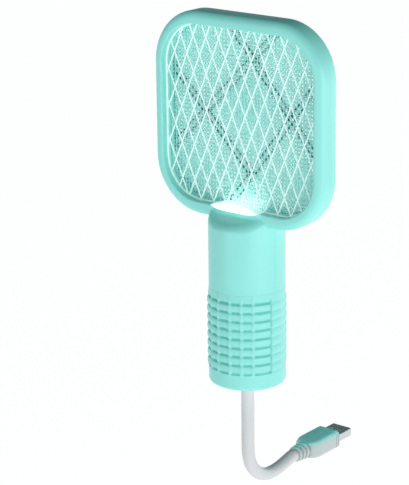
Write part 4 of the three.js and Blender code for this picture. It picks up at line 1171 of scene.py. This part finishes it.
def make_button():
    """Round button with a dished face and a rounded rim."""
    back, front = depths("zap_button")
    r = BUTTON_R
    stem, flange, flange_back, flange_front = 2.2, r + 0.9, 13.9, 15.3
    profile = [(0, back), (stem, back), (stem, flange_back), (flange, flange_back), (flange, flange_front)]
    profile += [(r, flange_front), (r, front - 1.1)]
    profile += arc(r - 0.9, front - 1.0, 0.9, 0, 90, 6)
    profile += [(r - 1.6, front - 0.15), (r - 2.8, front - 0.4), (1.6, front - 0.55), (0, front - 0.6)]
    button = along_y(turned("round_button", profile, 72), 0, BUTTON_Z)
    settle(button, "control", ["zap_button"], 35, "zap_button")


def make_knob():
    """Slide switch's knob with three finger ridges."""
    y0, y1 = depths("slide_switch_knob")
    ridge, pitch = 0.45, 1.0
    side = [(13.0, SWITCH_Z - KNOB_H / 2), (y1 - ridge, SWITCH_Z - KNOB_H / 2)]
    for i in (-1, 0, 1):
        z = SWITCH_Z + i * pitch
        side += [(y1 - ridge, z - 0.42), (y1, z - 0.22), (y1, z + 0.22), (y1 - ridge, z + 0.42)]
    side += [(y1 - ridge, SWITCH_Z + KNOB_H / 2), (13.0, SWITCH_Z + KNOB_H / 2)]
    knob = loft("tool_knob", [[(x, y, z) for y, z in side] for x in (-KNOB_W / 2, KNOB_W / 2)])
    stem = block(-1.2, 1.2, y0, 13.4, SWITCH_Z - KNOB_H / 2 + 0.2, SWITCH_Z + KNOB_H / 2 - 0.2)
    knob = soften_edges(combine(knob, stem, "UNION"), 0.12)
    knob.name = "ridged_knob"
    settle(knob, "control", ["slide_switch_knob"], 35, "power_knob")


def make_window():
    """Domed charge window."""
    y0, y1 = depths("charge_window")
    profile = [(0, y0), (WINDOW_R, y0), (WINDOW_R, y1 - 0.5)]
    profile += [(WINDOW_R * 0.8, y1 - 0.15), (WINDOW_R * 0.4, y1 - 0.02), (0, y1)]
    window = along_y(turned("domed_window", profile, 40), 0, WINDOW_Z)
    settle(window, "control", ["charge_window"], 40)


def screw_body(name, length):
    """Pan-head screw with a cross recess, its head down at z = 0, and a rolled thread."""
    r, head_r, head_h = 0.95, SCREW_HEAD_R, 1.3
    profile = [(0, 0), (head_r * 0.55, 0.03), (head_r * 0.85, 0.2), (head_r, 0.55)]
    profile += [(head_r, head_h), (r, head_h)]
    z, pitch = head_h + 0.6, 0.62
    while z < length - 0.6:
        profile += [(r, z), (r * 0.74, z + pitch / 2)]
        z += pitch
    profile += [(r, z), (r * 0.35, length + 1), (0, length + 1)]
    body = turned(name, profile, 36)
    for long_x in (True, False):
        a, b = (1.05, 0.2) if long_x else (0.2, 1.05)
        body = carve(body, block(-a, a, -b, b, -0.5, 0.62))
    return body


def make_screws():
    for i, y in enumerate((-CAP_SCREW_Y, CAP_SCREW_Y), 1):
        body = screw_body(f"base_screw_{i}", 12)
        body.data.transform(Matrix.Translation((0, y, 6.2)))
        settle(body, "steel", [f"cap_screw_{i}"], 30)
    for i, x in enumerate((-SCREW_X, SCREW_X), 1):
        body = screw_body(f"shoulder_screw_{i}", 15)
        turn = Matrix.Rotation(math.radians(90), 4, "X")
        body.data.transform(Matrix.Translation((x, SCREW_HEAD_Y + 1.3, SCREW_Z)) @ turn)
        settle(body, "steel", [f"neck_screw_{i}"], 30)


# ---- CAD pieces that stay
KEPT = {
    "board": ["lure_light_board", "circuit_board", "socket_board"],
    "lens": ["lure_lamp_1", "lure_lamp_2", "lure_lamp_3"],
    "dark": ["push_switch", "battery_cradle", "transformer_core", "rectifier_diode_1", "rectifier_diode_2",
             "charge_controller", "grid_lead_negative"],
    "red": ["push_switch_plunger", "charge_indicator", "grid_lead_positive"],
    "steel": ["slide_switch", "battery_contact_spring", "charging_socket", "handle_plug_tip"],
    "brass": ["battery_contact_positive", "usb_contact_1", "usb_contact_2", "usb_contact_3", "usb_contact_4"],
    "wrap": ["battery_cell", "bleed_resistor"],
    "film": ["storage_capacitor"],
    "copper": ["transformer_winding"],
    "control": ["usb_contact_tongue"],
}


def dress_kept_nodes():
    for paint, names in KEPT.items():
        for name in names:
            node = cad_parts[name]
            node.data.materials.clear()
            node.data.materials.append(PAINTS[paint].material)


# ---- the scene
make_camera()
PAINTS = make_materials()
cord = make_cord()
usb_body = make_usb_plug()
usb_shell = make_usb_shell()
relief = make_relief()
handle_plug = make_handle_plug()
on_the_cord = [usb_body, usb_shell, relief, handle_plug, "usb_contact_tongue", "handle_plug_tip"]
on_the_cord += [f"usb_contact_{i}" for i in (1, 2, 3, 4)]
for make in (make_housings, make_front_guard, make_live_grid, make_rear_guard, make_braces,
             make_spacers, make_lens, make_grip, make_cap, make_button, make_knob, make_window,
             make_screws, dress_kept_nodes):
    make()
make_floor()
make_light()
